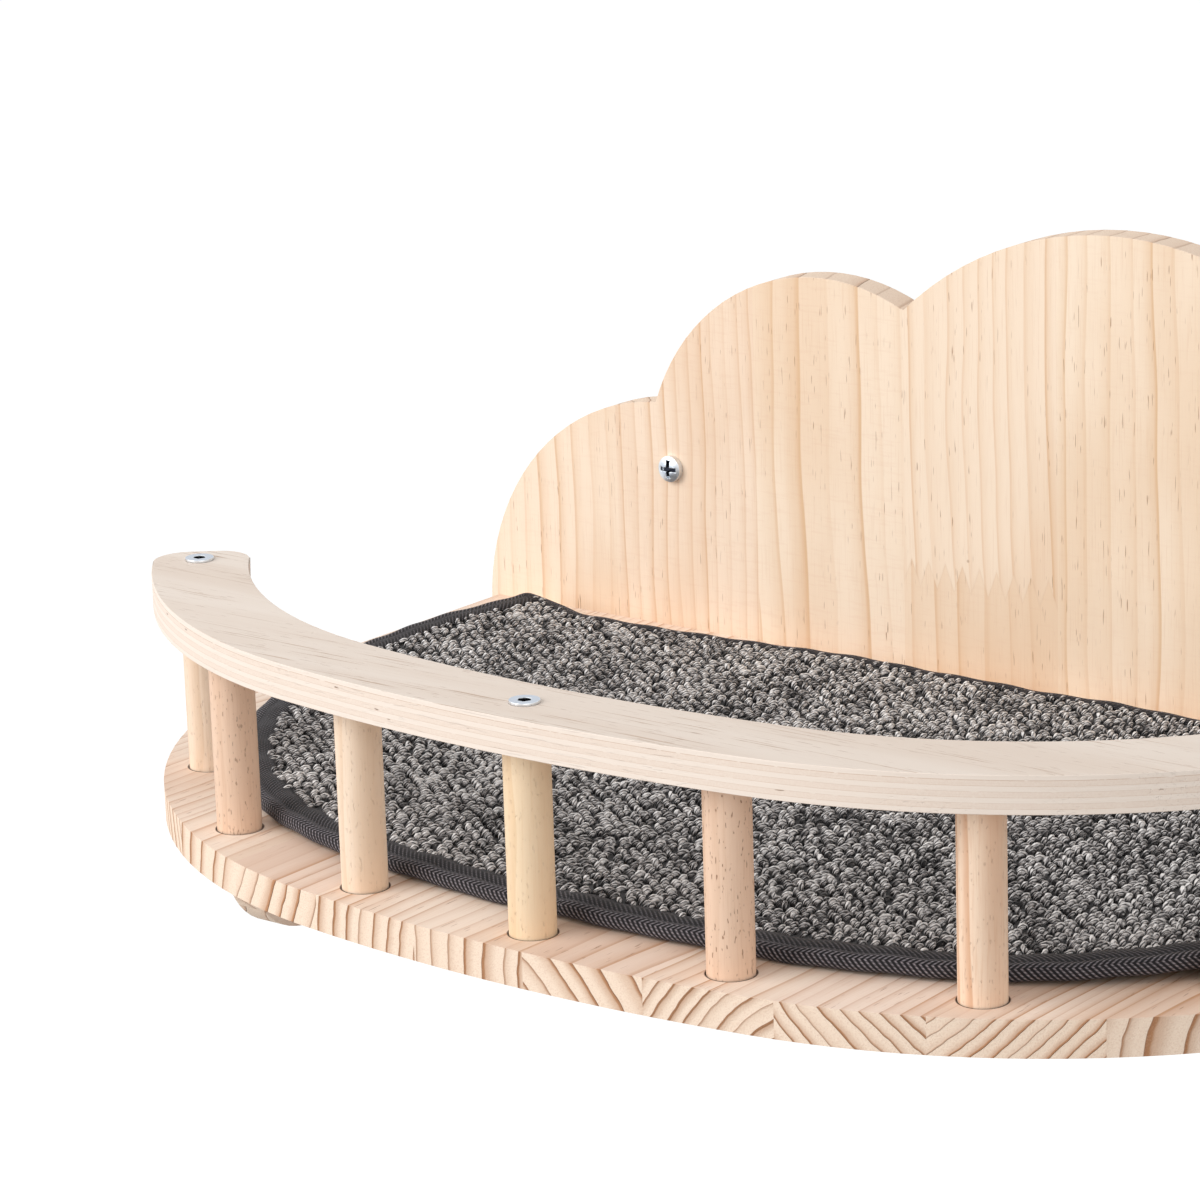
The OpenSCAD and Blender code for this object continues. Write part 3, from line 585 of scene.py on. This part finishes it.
def painted_head_light(g, axes, colour, drive):
    """A painted reflection, bluer and darker, on flat heads, and painted shade in drive recesses from a
    start level down to a floor.
    """
    axis, start, floor = drive["axis"], drive["start"], drive["floor"]
    # Painted reflection: flat faces take a bluer, darker grey
    flat = g.smooth(g.math("ABSOLUTE", g.normal()[axis]), 0.93, 0.99)
    colour = g.tint(colour, ZINC_HEAD_REFLECTION, flat, 0.8)
    # Painted shade in each drive recess
    above_floor = g.math("COMPARE", axes[axis], (start + floor) / 2, abs(floor - start) / 2)
    deep_shade = g.mul(g.smooth(axes[axis], start, drive["full"]), above_floor)
    for middle in drive["middles"]:
        away = [g.sub(axes[k], middle[k]) for k in (X, Y, Z) if k != axis]
        inside = g.math("LESS_THAN", g.length(*away), drive["radius"])
        colour = g.mix(g.mul(deep_shade, inside), colour, RECESS_SHADE)
    return colour


def zinc(name, drive=None):
    """Bright zinc plating with faint mottling, and where a drive is given, a painted reflection on flat
    heads and painted shade in the drive recesses.
    """
    g = Graph(name)
    axes = g.place()
    place = g.combine(*axes)
    mottle = g.noise(place, scale=700.0, detail=3.0)
    colour = g.mix(mottle, ZINC_DARK, ZINC_PALE)
    g.set("Base Color", painted_head_light(g, axes, colour, drive) if drive else colour)
    g.set("Metallic", 1.0)
    g.set("Roughness", g.add(g.mul(mottle, 0.2), 0.22))
    g.bump(g.noise(place, scale=2600.0), 0.03 * MM)
    return g.material


# Colours of the mat and of its strips
FELT_DARK, FELT_PALE, FELT_PATCH = srgb(38, 37, 39), srgb(92, 90, 92), srgb(52, 51, 54)
YARN_RAMP = [
    (0.05, srgb(32, 30, 31)), (0.30, srgb(113, 109, 110)), (0.52, srgb(200, 196, 195)),
    (0.75, srgb(252, 249, 247)),
]
TAPE_GROUND, TAPE_OUTER, TAPE_SPECK = srgb(22, 20, 22), srgb(18, 16, 20), srgb(182, 174, 181)
STRIP_DARK, STRIP_PALE, STRIP_FUZZ = srgb(24, 24, 26), srgb(52, 52, 55), srgb(72, 72, 76)

# Weaves: the tape's chevrons, twill and weft, and half the steps of the strips' threads
CHEVRON, TWILL, WEFT = 4.2 * MM, 1.9 * MM, 0.95 * MM
THREAD_X, THREAD_Y = 0.4 * MM, 0.3 * MM


def felt(name):
    """Needled felt: short dark fibres lying every way."""
    g = Graph(name)
    place = g.combine(*g.place())
    fibre = g.noise(place, scale=1400.0, detail=4.0, rough=0.65)
    patch = g.noise(place, scale=60.0)
    g.set("Base Color", g.tint(g.mix(fibre, FELT_DARK, FELT_PALE), FELT_PATCH, patch, 0.5))
    g.set("Roughness", 0.95)
    g.set("Specular IOR Level", 0.1)
    g.set("Sheen Weight", 0.25)
    g.bump(fibre, 0.4 * MM)
    return g.material


def yarn(name):
    """Mottled yarn: each loop has its own grey, and twisted light and dark fibres run along it; painted
    shade darkens the grooves between its plies and each loop towards its feet.
    """
    g = Graph(name)
    tone = g.node("ShaderNodeAttribute", attribute_name="tone").outputs["Fac"]
    u, v = g.uv("yarn")
    turned = g.add(v, g.mul(u, 0.8))
    fibre_place = g.combine(g.mul(u, 3.0), g.mul(turned, 13.0), g.mul(tone, 50.0))
    fibre = g.noise(fibre_place, detail=3.0, rough=0.65)
    strand = g.math("ABSOLUTE", g.sub(g.math("FRACT", g.mul(turned, 2.0)), 0.5))
    # Ply grooves: a bump, and painted shade in the yarn's grey
    groove_and_shade = g.smooth(strand, 0.34, 0.5)
    # Painted shade: each loop darker towards its feet, where its neighbours shade it
    foot_shade = g.smooth(g.math("ABSOLUTE", g.sub(u, 0.5)), 0.12, 0.45)
    shade = g.sub(g.add(tone, g.mul(g.sub(fibre, 0.5), 2.3)), g.mul(groove_and_shade, 0.5))
    shade = g.sub(shade, g.mul(foot_shade, 0.72))
    g.set("Base Color", g.ramp(shade, YARN_RAMP))
    g.set("Roughness", 0.8)
    g.set("Specular IOR Level", 0.2)
    g.set("Sheen Weight", 0.2)
    g.set("Sheen Roughness", 0.5)
    g.bump(g.sub(g.mul(fibre, 0.7), groove_and_shade), 0.35 * MM)
    return g.material


def herringbone(name, length, width):
    """Woven binding tape: chevrons of pale specks on dark thread, brightest round the outer fold."""
    g = Graph(name)
    u, v = g.uv("tape")
    along = g.mul(u, length)
    over = g.mul(v, width)
    zigzag = g.math("PINGPONG", over, CHEVRON)
    twill = g.math("FRACT", g.math("DIVIDE", g.add(along, zigzag), TWILL))
    weft = g.math("FRACT", g.math("DIVIDE", over, WEFT))
    rise_u = g.fall(g.math("ABSOLUTE", g.sub(twill, 0.5)), 0.08, 0.32)
    rise_v = g.fall(g.math("ABSOLUTE", g.sub(weft, 0.5)), 0.15, 0.42)
    speck = g.mul(rise_u, g.add(g.mul(rise_v, 0.65), 0.35))
    outer = g.mul(g.smooth(v, 0.33, 0.42), g.fall(v, 0.70, 0.84))
    worn = g.noise(g.combine(g.mul(along, 90.0), g.mul(over, 300.0), 0.0))
    amount = g.mul(g.add(g.mul(outer, 0.34), 0.28), g.add(g.mul(worn, 0.8), 0.5))
    ground = g.mix(outer, TAPE_GROUND, TAPE_OUTER)
    g.set("Base Color", g.tint(ground, TAPE_SPECK, speck, amount))
    g.set("Roughness", 0.75)
    g.set("Specular IOR Level", 0.25)
    g.set("Sheen Weight", 0.03)
    g.bump(speck, 0.35 * MM)
    return g.material


def strip_cloth(name):
    """Black hook-and-loop tape: woven ground with a faint grid of threads."""
    g = Graph(name)
    x, y, z = g.place()
    threads = g.add(g.math("PINGPONG", x, THREAD_X), g.math("PINGPONG", y, THREAD_Y))
    weave = g.math("DIVIDE", threads, THREAD_X + THREAD_Y)
    fuzz = g.noise(g.combine(x, y, z), scale=1800.0, detail=3.0)
    g.set("Base Color", g.tint(g.mix(weave, STRIP_DARK, STRIP_PALE), STRIP_FUZZ, fuzz, 0.4))
    g.set("Roughness", 0.7)
    g.set("Specular IOR Level", 0.3)
    g.bump(g.add(weave, fuzz), 0.12 * MM)
    return g.material


def soften(obj, width):
    """Breaks the arrises of a CAD node with a small bevel, on whole flat faces, and shades it smooth."""
    weld = obj.modifiers.new("weld", "WELD")
    weld.merge_threshold = WELD_GAP
    whole = obj.modifiers.new("whole_faces", "DECIMATE")
    whole.decimate_type = "DISSOLVE"
    whole.angle_limit = FLAT_BEND
    bevel = obj.modifiers.new("bevel", "BEVEL")
    bevel.width = width
    bevel.segments = BEVEL_SEGMENTS
    bevel.limit_method = "ANGLE"
    bevel.angle_limit = ARRIS_BEND
    bevel.face_strength_mode = "FSTR_ALL"
    for face in obj.data.polygons:
        face.use_smooth = True
    normals = obj.modifiers.new("normals", "WEIGHTED_NORMAL")
    normals.use_face_influence = True


def finish_node(node, material, bevel=0.0):
    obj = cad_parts[node]
    obj.data.materials.clear()
    obj.data.materials.append(material)
    if bevel:
        soften(obj, bevel)


def new_piece(name, points, faces, material, body):
    mesh = bpy.data.meshes.new(name)
    mesh.from_pydata(points, [], faces)
    mesh.validate()
    mesh.update()
    mesh.shade_smooth()
    mesh.materials.append(material)
    obj = bpy.data.objects.new(name, mesh)
    bpy.context.scene.collection.objects.link(obj)
    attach(obj, body)
    return obj


def add_uv(obj, name, corner_uv):
    layer = obj.data.uv_layers.new(name=name)
    layer.data.foreach_set("uv", np.asarray(corner_uv, np.float32).ravel())


def ring_faces(a, b, n):
    """The faces between ring a and ring b of a mesh whose rings have n points each."""
    return [(a * n + i, a * n + (i + 1) % n, b * n + (i + 1) % n, b * n + i) for i in range(n)]


def run_along(points):
    """Distance along a line, at each of its points."""
    return np.concatenate([[0.0], np.cumsum(np.hypot(*np.diff(points, axis=0).T))])


def arc(centre, radius, start, end, n):
    """Points on an arc; angles turn from straight ahead, away from the wall, towards the right."""
    a = np.linspace(start, end, n, endpoint=False)
    return np.stack([centre[0] + radius * np.sin(a), centre[1] - radius * np.cos(a)], 1)


def half_outline():
    """The right half of the mat's outline, from the front middle to the back middle."""
    front_arc_y = MAT_FRONT + FRONT_R
    corner_x = MAT_SIDE - CORNER_R
    join = math.asin(corner_x / (FRONT_R - CORNER_R))
    corner_y = front_arc_y - (FRONT_R - CORNER_R) * math.cos(join)
    back_y = MAT_HIGH.y
    side_y = np.linspace(corner_y, back_y - BACK_R, SIDE_N, endpoint=False)
    back_x = np.linspace(MAT_SIDE - BACK_R, 0.0, BACK_N)
    return np.concatenate([
        arc((0.0, front_arc_y), FRONT_R, 0.0, join, FRONT_N),
        arc((corner_x, corner_y), CORNER_R, join, TURN / 4, CORNER_N),
        np.stack([np.full(SIDE_N, MAT_SIDE), side_y], 1),
        arc((MAT_SIDE - BACK_R, back_y - BACK_R), BACK_R, TURN / 4, TURN / 2, BACK_CORNER_N),
        np.stack([back_x, np.full(BACK_N, back_y)], 1),
    ])


def mat_outline():
    """Evenly spaced points round the mat, their outward normals, and the arc length."""
    right = half_outline()
    left = right[-2:0:-1] * (-1, 1)
    loop = np.concatenate([right, left, right[:1]])
    loop = loop + np.stack([corner_tuck(loop), -back_dip(loop)], 1)
    run = run_along(loop)
    even = np.linspace(0.0, run[-1], OUTLINE_N, endpoint=False)
    points = np.stack([np.interp(even, run, loop[:, k]) for k in (X, Y)], 1)
    tangent = np.roll(points, -1, 0) - np.roll(points, 1, 0)
    tangent /= np.linalg.norm(tangent, axis=1)[:, None]
    normals = np.stack([tangent[:, Y], -tangent[:, X]], 1)
    return points, normals, run[-1]


def ease(x, start, end):
    """0 up to start and 1 from end on, with a smooth rise between."""
    share = np.clip((x - start) / (end - start), 0.0, 1.0)
    return share * share * (3 - 2 * share)


def back_dip(points):
    """A stretch of the back edge, left of the middle, has slid towards the front."""
    near_back = ease(points[:, Y], MAT_HIGH.y - DIP_DEPTH, MAT_HIGH.y)
    stretch = ease(points[:, X], *DIP_LEFT) * (1.0 - ease(points[:, X], *DIP_RIGHT))
    return DIP * near_back * stretch


def corner_tuck(points):
    """The left side runs in towards its back corner."""
    at_left = 1.0 - ease(points[:, X], *TUCK_AT_LEFT)
    return TUCK * at_left * ease(points[:, Y], *TUCK_TO_BACK)


def edge_lift(points):
    """How far the mat's edge stands off the shelf."""
    turn = np.arctan2(points[:, X], -(points[:, Y] - MAT_MID_Y))
    waves = sum(size * np.sin(number * turn + phase) for size, number, phase in EDGE_WAVES)
    curl_x = (points[:, X] - CURL_X) / CURL_WIDE
    curl_y = (points[:, Y] - CURL_Y) / CURL_DEEP
    curl = np.exp(-curl_x ** 2 - curl_y ** 2)
    at_left = 1.0 - ease(points[:, X], *STAND_AT_LEFT)
    left = at_left * ease(points[:, Y], *STAND_TO_BACK)
    return MM * (EDGE_STAND + waves + CURL * curl + LEFT_STAND * left)


# The mat's outline and what changes along it, and the tape's profile in metres
OUTLINE, OUTWARD, OUTLINE_LEN = mat_outline()
LIFT = edge_lift(OUTLINE)
AT_BACK = ease(OUTWARD[:, Y], 0.5, 0.95)
FLAP_SHARE = 1.0 - (1.0 - BACK_FLAP_SHARE) * AT_BACK
TAPE = np.array(TAPE_PROFILE) * MM
TAPE_RUN = run_along(TAPE)


def edge_distance(points):
    """Distance of points in from the mat's outline, negative outside, and the nearest outline point."""
    nearest = np.zeros(len(points), int)
    chunk = 2000
    for first in range(0, len(points), chunk):
        part = points[first:first + chunk]
        gap = ((part[:, None] - OUTLINE[None]) ** 2).sum(2)
        nearest[first:first + chunk] = gap.argmin(1)
    inward = -((points - OUTLINE[nearest]) * OUTWARD[nearest]).sum(1)
    return inward, nearest


def lift_at(inward, nearest):
    """The edge's lift, which dies away inwards."""
    fade = np.clip(1.0 - inward / STAND_FADE, 0.0, 1.0)
    return LIFT[nearest] * fade * fade * (3 - 2 * fade)


def loop_shape(rings, sides, yarn_r, half, rise):
    """Points of one loop of yarn that stands on its base, along Y, with its faces and their UV."""
    t = np.linspace(LOOP_START, LOOP_END, rings)
    around = np.arange(sides) / sides * TURN
    thick = yarn_r * (YARN_AT_FOOT + YARN_SWELL * np.sin(t))
    out_y, out_z = -np.cos(t), np.sin(t)
    points = np.zeros((rings, sides, 3))
    points[..., X] = thick[:, None] * np.cos(around)
    swell = thick[:, None] * np.sin(around)
    points[..., Y] = (half * out_y)[:, None] + swell * out_y[:, None]
    points[..., Z] = (rise * out_z)[:, None] + swell * out_z[:, None]
    faces, uv = [], []
    for r in range(rings - 1):
        faces += ring_faces(r, r + 1, sides)
        u0, u1 = r / (rings - 1), (r + 1) / (rings - 1)
        for s in range(sides):
            v0, v1 = s / sides, (s + 1) / sides
            uv += [(u0, v0), (u0, v1), (u1, v1), (u1, v0)]
    return points.reshape(-1, 3), np.array(faces), np.array(uv)


def soft_noise(points, cell, rng):
    """Smooth random values from 0 to 1 over the mat, from a coarse grid of draws."""
    n = PATCH_GRID
    grid = rng.random((n, n))
    q = points / cell + n / 2
    i = np.floor(q).astype(int) % (n - 1)
    f = q - np.floor(q)
    f = f * f * (3 - 2 * f)
    low = grid[i[:, 0], i[:, 1]] * (1 - f[:, 0]) + grid[i[:, 0] + 1, i[:, 1]] * f[:, 0]
    high = grid[i[:, 0], i[:, 1] + 1] * (1 - f[:, 0]) + grid[i[:, 0] + 1, i[:, 1] + 1] * f[:, 0]
    return low * (1 - f[:, 1]) + high * f[:, 1]


def loop_places(rng):
    """Where the loops stand: rows along Y, every other one shifted by half a step, with some scatter."""
    columns = np.arange(-MAT_SIDE, MAT_SIDE, LOOP_STEP_X)
    rows = np.arange(MAT_FRONT, MAT_HIGH.y, LOOP_STEP_Y)
    x, y = np.meshgrid(columns, rows, indexing="ij")
    y = y + (np.arange(len(columns)) % 2)[:, None] * LOOP_STEP_Y / 2
    places = np.stack([x.ravel(), y.ravel()], 1)
    return places + rng.normal(0.0, LOOP_SCATTER, places.shape)


def loop_points(unit, places, inward, lift, rng):
    """Points of all loops: the unit loop at each place, with its own size, turn and lean."""
    count = len(places)
    wide = rng.normal(*LOOP_WIDE, count)
    long = rng.normal(*LOOP_LONG, count)
    tall = np.clip(rng.normal(*LOOP_TALL, count), *LOOP_TALL_LIMITS)
    tall *= np.clip(EDGE_TALL + (inward - BACK_PILE_INSET) / EDGE_TALL_RUN * EDGE_TALL_GAIN, 0.0, 1.0)
    turn = rng.normal(*LOOP_TURN, count)[:, None]
    lean = rng.normal(*LOOP_LEAN, (count, 2))
    sized = unit[None] * np.stack([wide, long, tall], 1)[:, None]
    z = sized[..., Z]
    x = sized[..., X] * np.cos(turn) - sized[..., Y] * np.sin(turn)
    y = sized[..., X] * np.sin(turn) + sized[..., Y] * np.cos(turn)
    x = x + lean[:, :1] * z + places[:, :1]
    y = y + lean[:, 1:] * z + places[:, 1:]
    return np.stack([x, y, z + PILE_BASE + lift[:, None]], -1).reshape(-1, 3)


def loop_tones(places, rng):
    """A grey from 0 to 1 for each loop."""
    broad = soft_noise(places, BROAD_PATCH, rng)
    close = soft_noise(places, CLOSE_PATCH, rng)
    own = rng.normal(0.0, TONE_SPREAD, len(places))
    return np.clip(TONE_BASE + TONE_BROAD * broad + TONE_CLOSE * close + own, 0.0, 1.0)


def make_pile(material):
    """The loop pile: bent tubes of yarn that stand on the backing."""
    rng = np.random.default_rng(PILE_SEED)
    places = loop_places(rng)
    inward, nearest = edge_distance(places)
    keep = inward > PILE_INSET + (BACK_PILE_INSET - PILE_INSET) * AT_BACK[nearest]
    places, inward, nearest = places[keep], inward[keep], nearest[keep]
    count = len(places)
    unit, faces, uv = loop_shape(LOOP_RINGS, LOOP_SIDES, YARN_R, LOOP_HALF, LOOP_RISE)
    each = len(unit)
    points = loop_points(unit, places, inward, lift_at(inward, nearest), rng)
    all_faces = (faces[None] + (np.arange(count) * each)[:, None, None]).reshape(-1, 4)
    obj = new_piece("mat_pile_loops", points.tolist(), all_faces.tolist(), material, "mat")
    add_uv(obj, "yarn", np.tile(uv, (count, 1)))
    tone = loop_tones(places, rng)
    attribute = obj.data.attributes.new("tone", "FLOAT", "POINT")
    attribute.data.foreach_set("value", np.repeat(tone, each).astype(np.float32))
    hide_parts("mat_pile")
    return obj


def ring_points(inset, z):
    """The outline set in by a distance, at a height plus the edge's lift; a narrow flap at the back."""
    flap = max(inset - FLAP_START, 0.0) * FLAP_SHARE
    xy = OUTLINE - OUTWARD * (min(inset, FLAP_START) + flap)[:, None]
    return np.column_stack([xy, z + LIFT])


def make_tape(material):
    """Tape folded round the edge: the outer side of the profile, then the inner side a thickness within."""
    tangent = np.gradient(TAPE, axis=0)
    tangent /= np.linalg.norm(tangent, axis=1)[:, None]
    inner = TAPE + TAPE_T * np.stack([-tangent[:, 1], tangent[:, 0]], 1)
    section = np.concatenate([TAPE, inner[::-1]])
    share = TAPE_RUN / TAPE_RUN[-1]
    v = np.concatenate([share, share[::-1]])
    points = np.stack([ring_points(inset, EDGE_MID + z) for inset, z in section], 1)
    ripple = TAPE_RIPPLE * np.sin(np.arange(OUTLINE_N) / OUTLINE_N * TURN * TAPE_RIPPLES)[:, None]
    points[..., Z] += ripple * np.linspace(1.0, RIPPLE_BELOW, len(section))[None]
    points[..., Z] = np.maximum(points[..., Z], SHELF_TOP + TAPE_CLEARANCE)
    m = len(section)
    faces, uv = [], []
    for i in range(OUTLINE_N):
        j = (i + 1) % OUTLINE_N
        u0, u1 = i / OUTLINE_N, (i + 1) / OUTLINE_N
        for k in range(m):
            n = (k + 1) % m
            faces.append((i * m + k, j * m + k, j * m + n, i * m + n))
            uv += [(u0, v[k]), (u1, v[k]), (u1, v[n]), (u0, v[n])]
    obj = new_piece("mat_tape", points.reshape(-1, 3).tolist(), faces, material, "mat")
    add_uv(obj, "tape", uv)
    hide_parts("mat_binding")
    return obj


def make_backing(material):
    """The felt sheet that carries the loops: rings from its edge inwards, on two levels."""
    middle = np.array([0.0, MAT_MID_Y])
    edge = OUTLINE[::BACKING_STRIDE] - OUTWARD[::BACKING_STRIDE] * BACKING_INSET
    n = len(edge)
    points, faces = [], []
    for level in (BACKING_LOW, PILE_BASE):
        for share in BACKING_SHARES:
            xy = middle + (edge - middle) * share
            inward, nearest = edge_distance(xy)
            points.append(np.column_stack([xy, level + lift_at(np.maximum(inward, 0.0), nearest)]))
    upper = len(BACKING_SHARES)
    last = upper - 1
    for k in range(last):
        faces += ring_faces(k + 1, k, n)
        faces += ring_faces(upper + k, upper + k + 1, n)
    faces += ring_faces(0, upper, n)
    faces.append(tuple(last * n + i for i in reversed(range(n))))
    faces.append(tuple((upper + last) * n + i for i in range(n)))
    obj = new_piece("mat_backing_felt", np.concatenate(points).tolist(), faces, material, "mat")
    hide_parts("mat_backing")
    return obj


def strip_band(x, low_y, high_y, low_z, high_z, first):
    """Points and faces of one flat band with rounded corners; first is its first point's number."""
    a = np.linspace(0.0, TURN, STRIP_OUTLINE_N, endpoint=False)
    corner = np.stack([np.cos(a), np.sin(a)], 1)
    half = np.array([STRIP_W / 2, (high_y - low_y) / 2]) - STRIP_CORNER_R
    middle = np.array([x, (low_y + high_y) / 2])
    xy = middle + np.sign(np.round(corner, 6)) * half + corner * STRIP_CORNER_R
    n = len(xy)
    points = [(px, py, z) for z in (low_z, high_z) for px, py in xy]
    faces = [tuple(first + k for k in face) for face in ring_faces(0, 1, n)]
    faces.append(tuple(first + i for i in reversed(range(n))))
    faces.append(tuple(first + n + i for i in range(n)))
    return points, faces


def make_strips(name, node, body, material, up):
    """Two strips of hook-and-loop tape: bands with small arched tufts, which stand up or hang down."""
    rng = np.random.default_rng(STRIP_SEED)
    low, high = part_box(node)
    rise = high.z - low.z - BAND_T - TUFT_R
    unit, tuft_faces, _ = loop_shape(TUFT_RINGS, TUFT_SIDES, TUFT_R, TUFT_HALF, rise)
    band_z = (low.z, low.z + BAND_T) if up else (high.z - BAND_T, high.z)
    points, faces = [], []
    for x in (low.x + STRIP_W / 2, high.x - STRIP_W / 2):
        band_points, band_faces = strip_band(x, low.y, high.y, *band_z, len(points))
        points += band_points
        faces += band_faces
        columns = np.arange(x - STRIP_W / 2 + TUFT_INSET, x + STRIP_W / 2 - TUFT_INSET, TUFT_STEP)
        rows = np.arange(low.y + TUFT_INSET, high.y - TUFT_INSET, TUFT_STEP)
        for tuft_x, tuft_y in [(cx, cy) for cx in columns for cy in rows]:
            turn = rng.normal(0.0, TUFT_TURN)
            tall = rng.uniform(*TUFT_TALL)
            tuft_x += TUFT_R * rng.normal()
            first = len(points)
            for px, py, pz in unit:
                z = band_z[1] + pz * tall if up else band_z[0] - pz * tall
                side = px * math.cos(turn) - py * math.sin(turn)
                along = px * math.sin(turn) + py * math.cos(turn)
                points.append((tuft_x + side, tuft_y + along, z))
            for face in tuft_faces:
                ring = tuple(int(first + k) for k in face)
                faces.append(ring if up else ring[::-1])
    obj = new_piece(name, points, faces, material, body)
    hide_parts(node)
    return obj


def make_camera():
    forward = Vector((
        -math.sin(CAMERA_YAW) * math.cos(CAMERA_PITCH),
        math.cos(CAMERA_YAW) * math.cos(CAMERA_PITCH),
        -math.sin(CAMERA_PITCH),
    ))
    level = Vector((math.cos(CAMERA_YAW), math.sin(CAMERA_YAW), 0.0))
    upright = level.cross(forward)
    right = math.cos(CAMERA_ROLL) * level + math.sin(CAMERA_ROLL) * upright
    up = -math.sin(CAMERA_ROLL) * level + math.cos(CAMERA_ROLL) * upright
    data = bpy.data.cameras.new("camera")
    data.lens = CAMERA_LENS
    data.sensor_width = CAMERA_SENSOR
    camera = bpy.data.objects.new("camera", data)
    bpy.context.scene.collection.objects.link(camera)
    turn = Matrix((right, up, -forward)).transposed().to_4x4()
    camera.matrix_world = Matrix.Translation(CAMERA_POS) @ turn
    bpy.context.scene.camera = camera


def make_light(name, place, size, watts):
    data = bpy.data.lights.new(name, "AREA")
    data.shape = "SQUARE"
    data.size = size
    data.energy = watts
    light = bpy.data.objects.new(name, data)
    bpy.context.scene.collection.objects.link(light)
    light.location = place
    light.rotation_euler = (AIM - place).to_track_quat("-Z", "Y").to_euler()


def seen_rays(tree):
    """1 for the rays that show the background itself: from the camera, in gloss and through glass."""
    path = tree.nodes.new("ShaderNodeLightPath")
    total = path.outputs["Is Camera Ray"]
    for name in ("Is Glossy Ray", "Is Transmission Ray"):
        either = tree.nodes.new("ShaderNodeMath")
        either.operation = "MAXIMUM"
        tree.links.new(total, either.inputs[0])
        tree.links.new(path.outputs[name], either.inputs[1])
        total = either.outputs[0]
    return total


def make_world():
    world = bpy.data.worlds.new("studio")
    bpy.context.scene.world = world
    world.use_nodes = True
    tree = world.node_tree
    background = tree.nodes["Background"]
    background.inputs["Color"].default_value = WHITE
    strength = tree.nodes.new("ShaderNodeMapRange")
    tree.links.new(seen_rays(tree), strength.inputs["Value"])
    strength.inputs["To Min"].default_value = SKY_STRENGTH
    strength.inputs["To Max"].default_value = 1.0
    tree.links.new(strength.outputs[0], background.inputs["Strength"])


def make_floor():
    """A pale floor under the wall shelf, which keeps its shadow."""
    half = FLOOR_WIDE / 2
    z = cad_box[0][2] - FLOOR_DROP
    corners = [(-half, -half, z), (half, -half, z), (half, half, z), (-half, half, z)]
    mesh = bpy.data.meshes.new("floor")
    mesh.from_pydata(corners, [], [(0, 1, 2, 3)])
    floor = bpy.data.objects.new("floor", mesh)
    bpy.context.scene.collection.objects.link(floor)
    g = Graph("floor_paint")
    speck = g.noise(g.combine(*g.place()), scale=3.0)
    g.set("Base Color", g.mix(speck, grey(FLOOR_SHARE), grey(FLOOR_SHARE * FLOOR_MOTTLE)))
    g.set("Roughness", 0.9)
    g.set("Specular IOR Level", 0.0)
    g.set("Emission Color", WHITE)
    g.set("Emission Strength", g.mul(seen_rays(g.tree), FLOOR_GLOW))
    mesh.materials.append(g.material)


def dress_wood():
    bracket = pine("pine_bracket", BRACKET_PANEL)
    finish_node("shelf_board", pine("pine_shelf", SHELF_PANEL, [mid.xy for mid in SPINDLE_MIDS]), 0.35 * MM)
    finish_node("backboard", pine("pine_backboard", BACK_PANEL), 0.5 * MM)
    finish_node("left_bracket", bracket, 0.6 * MM)
    finish_node("right_bracket", bracket, 0.6 * MM)
    finish_node("top_rail", plywood("rail_plywood"), 1.2 * MM)
    for node, look in ROD_LOOKS.items():
        finish_node(node, rod(node, *look), 0.2 * MM)
    finish_node("locating_dowels", rod("locating_dowels", *DOWEL_LOOK))


def dress_metal():
    head_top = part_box("rail_bolts")[1].z
    # Painted shade in each rail bolt's hex recess, and a painted reflection on its flat head
    hex_drive = dict(axis=Z, middles=[SPINDLE_MIDS[n] for n in BOLTED], radius=2.6 * MM,
                     start=head_top - 0.15 * MM, full=head_top - 0.5 * MM, floor=head_top - 3.2 * MM)
    finish_node("rail_bolts", zinc("bolt_zinc", hex_drive), 0.3 * MM)
    low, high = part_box("wall_screws")
    head_r = 5 * MM
    screws = [Vector((x, 0.0, 0.0)) for x in (low.x + head_r, high.x - head_r)]
    # Painted shade in each wall screw's cross recess, and a painted reflection on its flat head
    cross_drive = dict(axis=Y, middles=screws, radius=3.1 * MM,
                       start=low.y + 0.75 * MM, full=low.y + 1.1 * MM, floor=low.y + 2.2 * MM)
    finish_node("wall_screws", zinc("screw_zinc", cross_drive), 0.15 * MM)
    plating = zinc("zinc_plating")
    for node in ("rail_inserts", "bracket_top_screws", "bracket_back_screws", "shelf_back_screws"):
        finish_node(node, plating)


def dress_mat():
    """The soft mat and the strips under it, in place of their CAD solids."""
    backing = make_backing(felt("mat_felt"))
    pile = make_pile(yarn("mat_yarn"))
    tape = make_tape(herringbone("mat_tape_weave", OUTLINE_LEN, TAPE_RUN[-1]))
    weave = strip_cloth("strip_weave")
    hooks = make_strips("shelf_hooks", "hook_strips", "shelf", weave, True)
    make_strips("mat_loops", "loop_strips", "mat", weave, False)


bpy.context.scene.view_settings.view_transform = "Standard"
make_camera()
make_world()
make_floor()
make_light("key", KEY_POS, KEY_SIZE, KEY_WATTS)
make_light("fill", FILL_POS, FILL_SIZE, FILL_WATTS)
dress_wood()
dress_metal()
dress_mat()
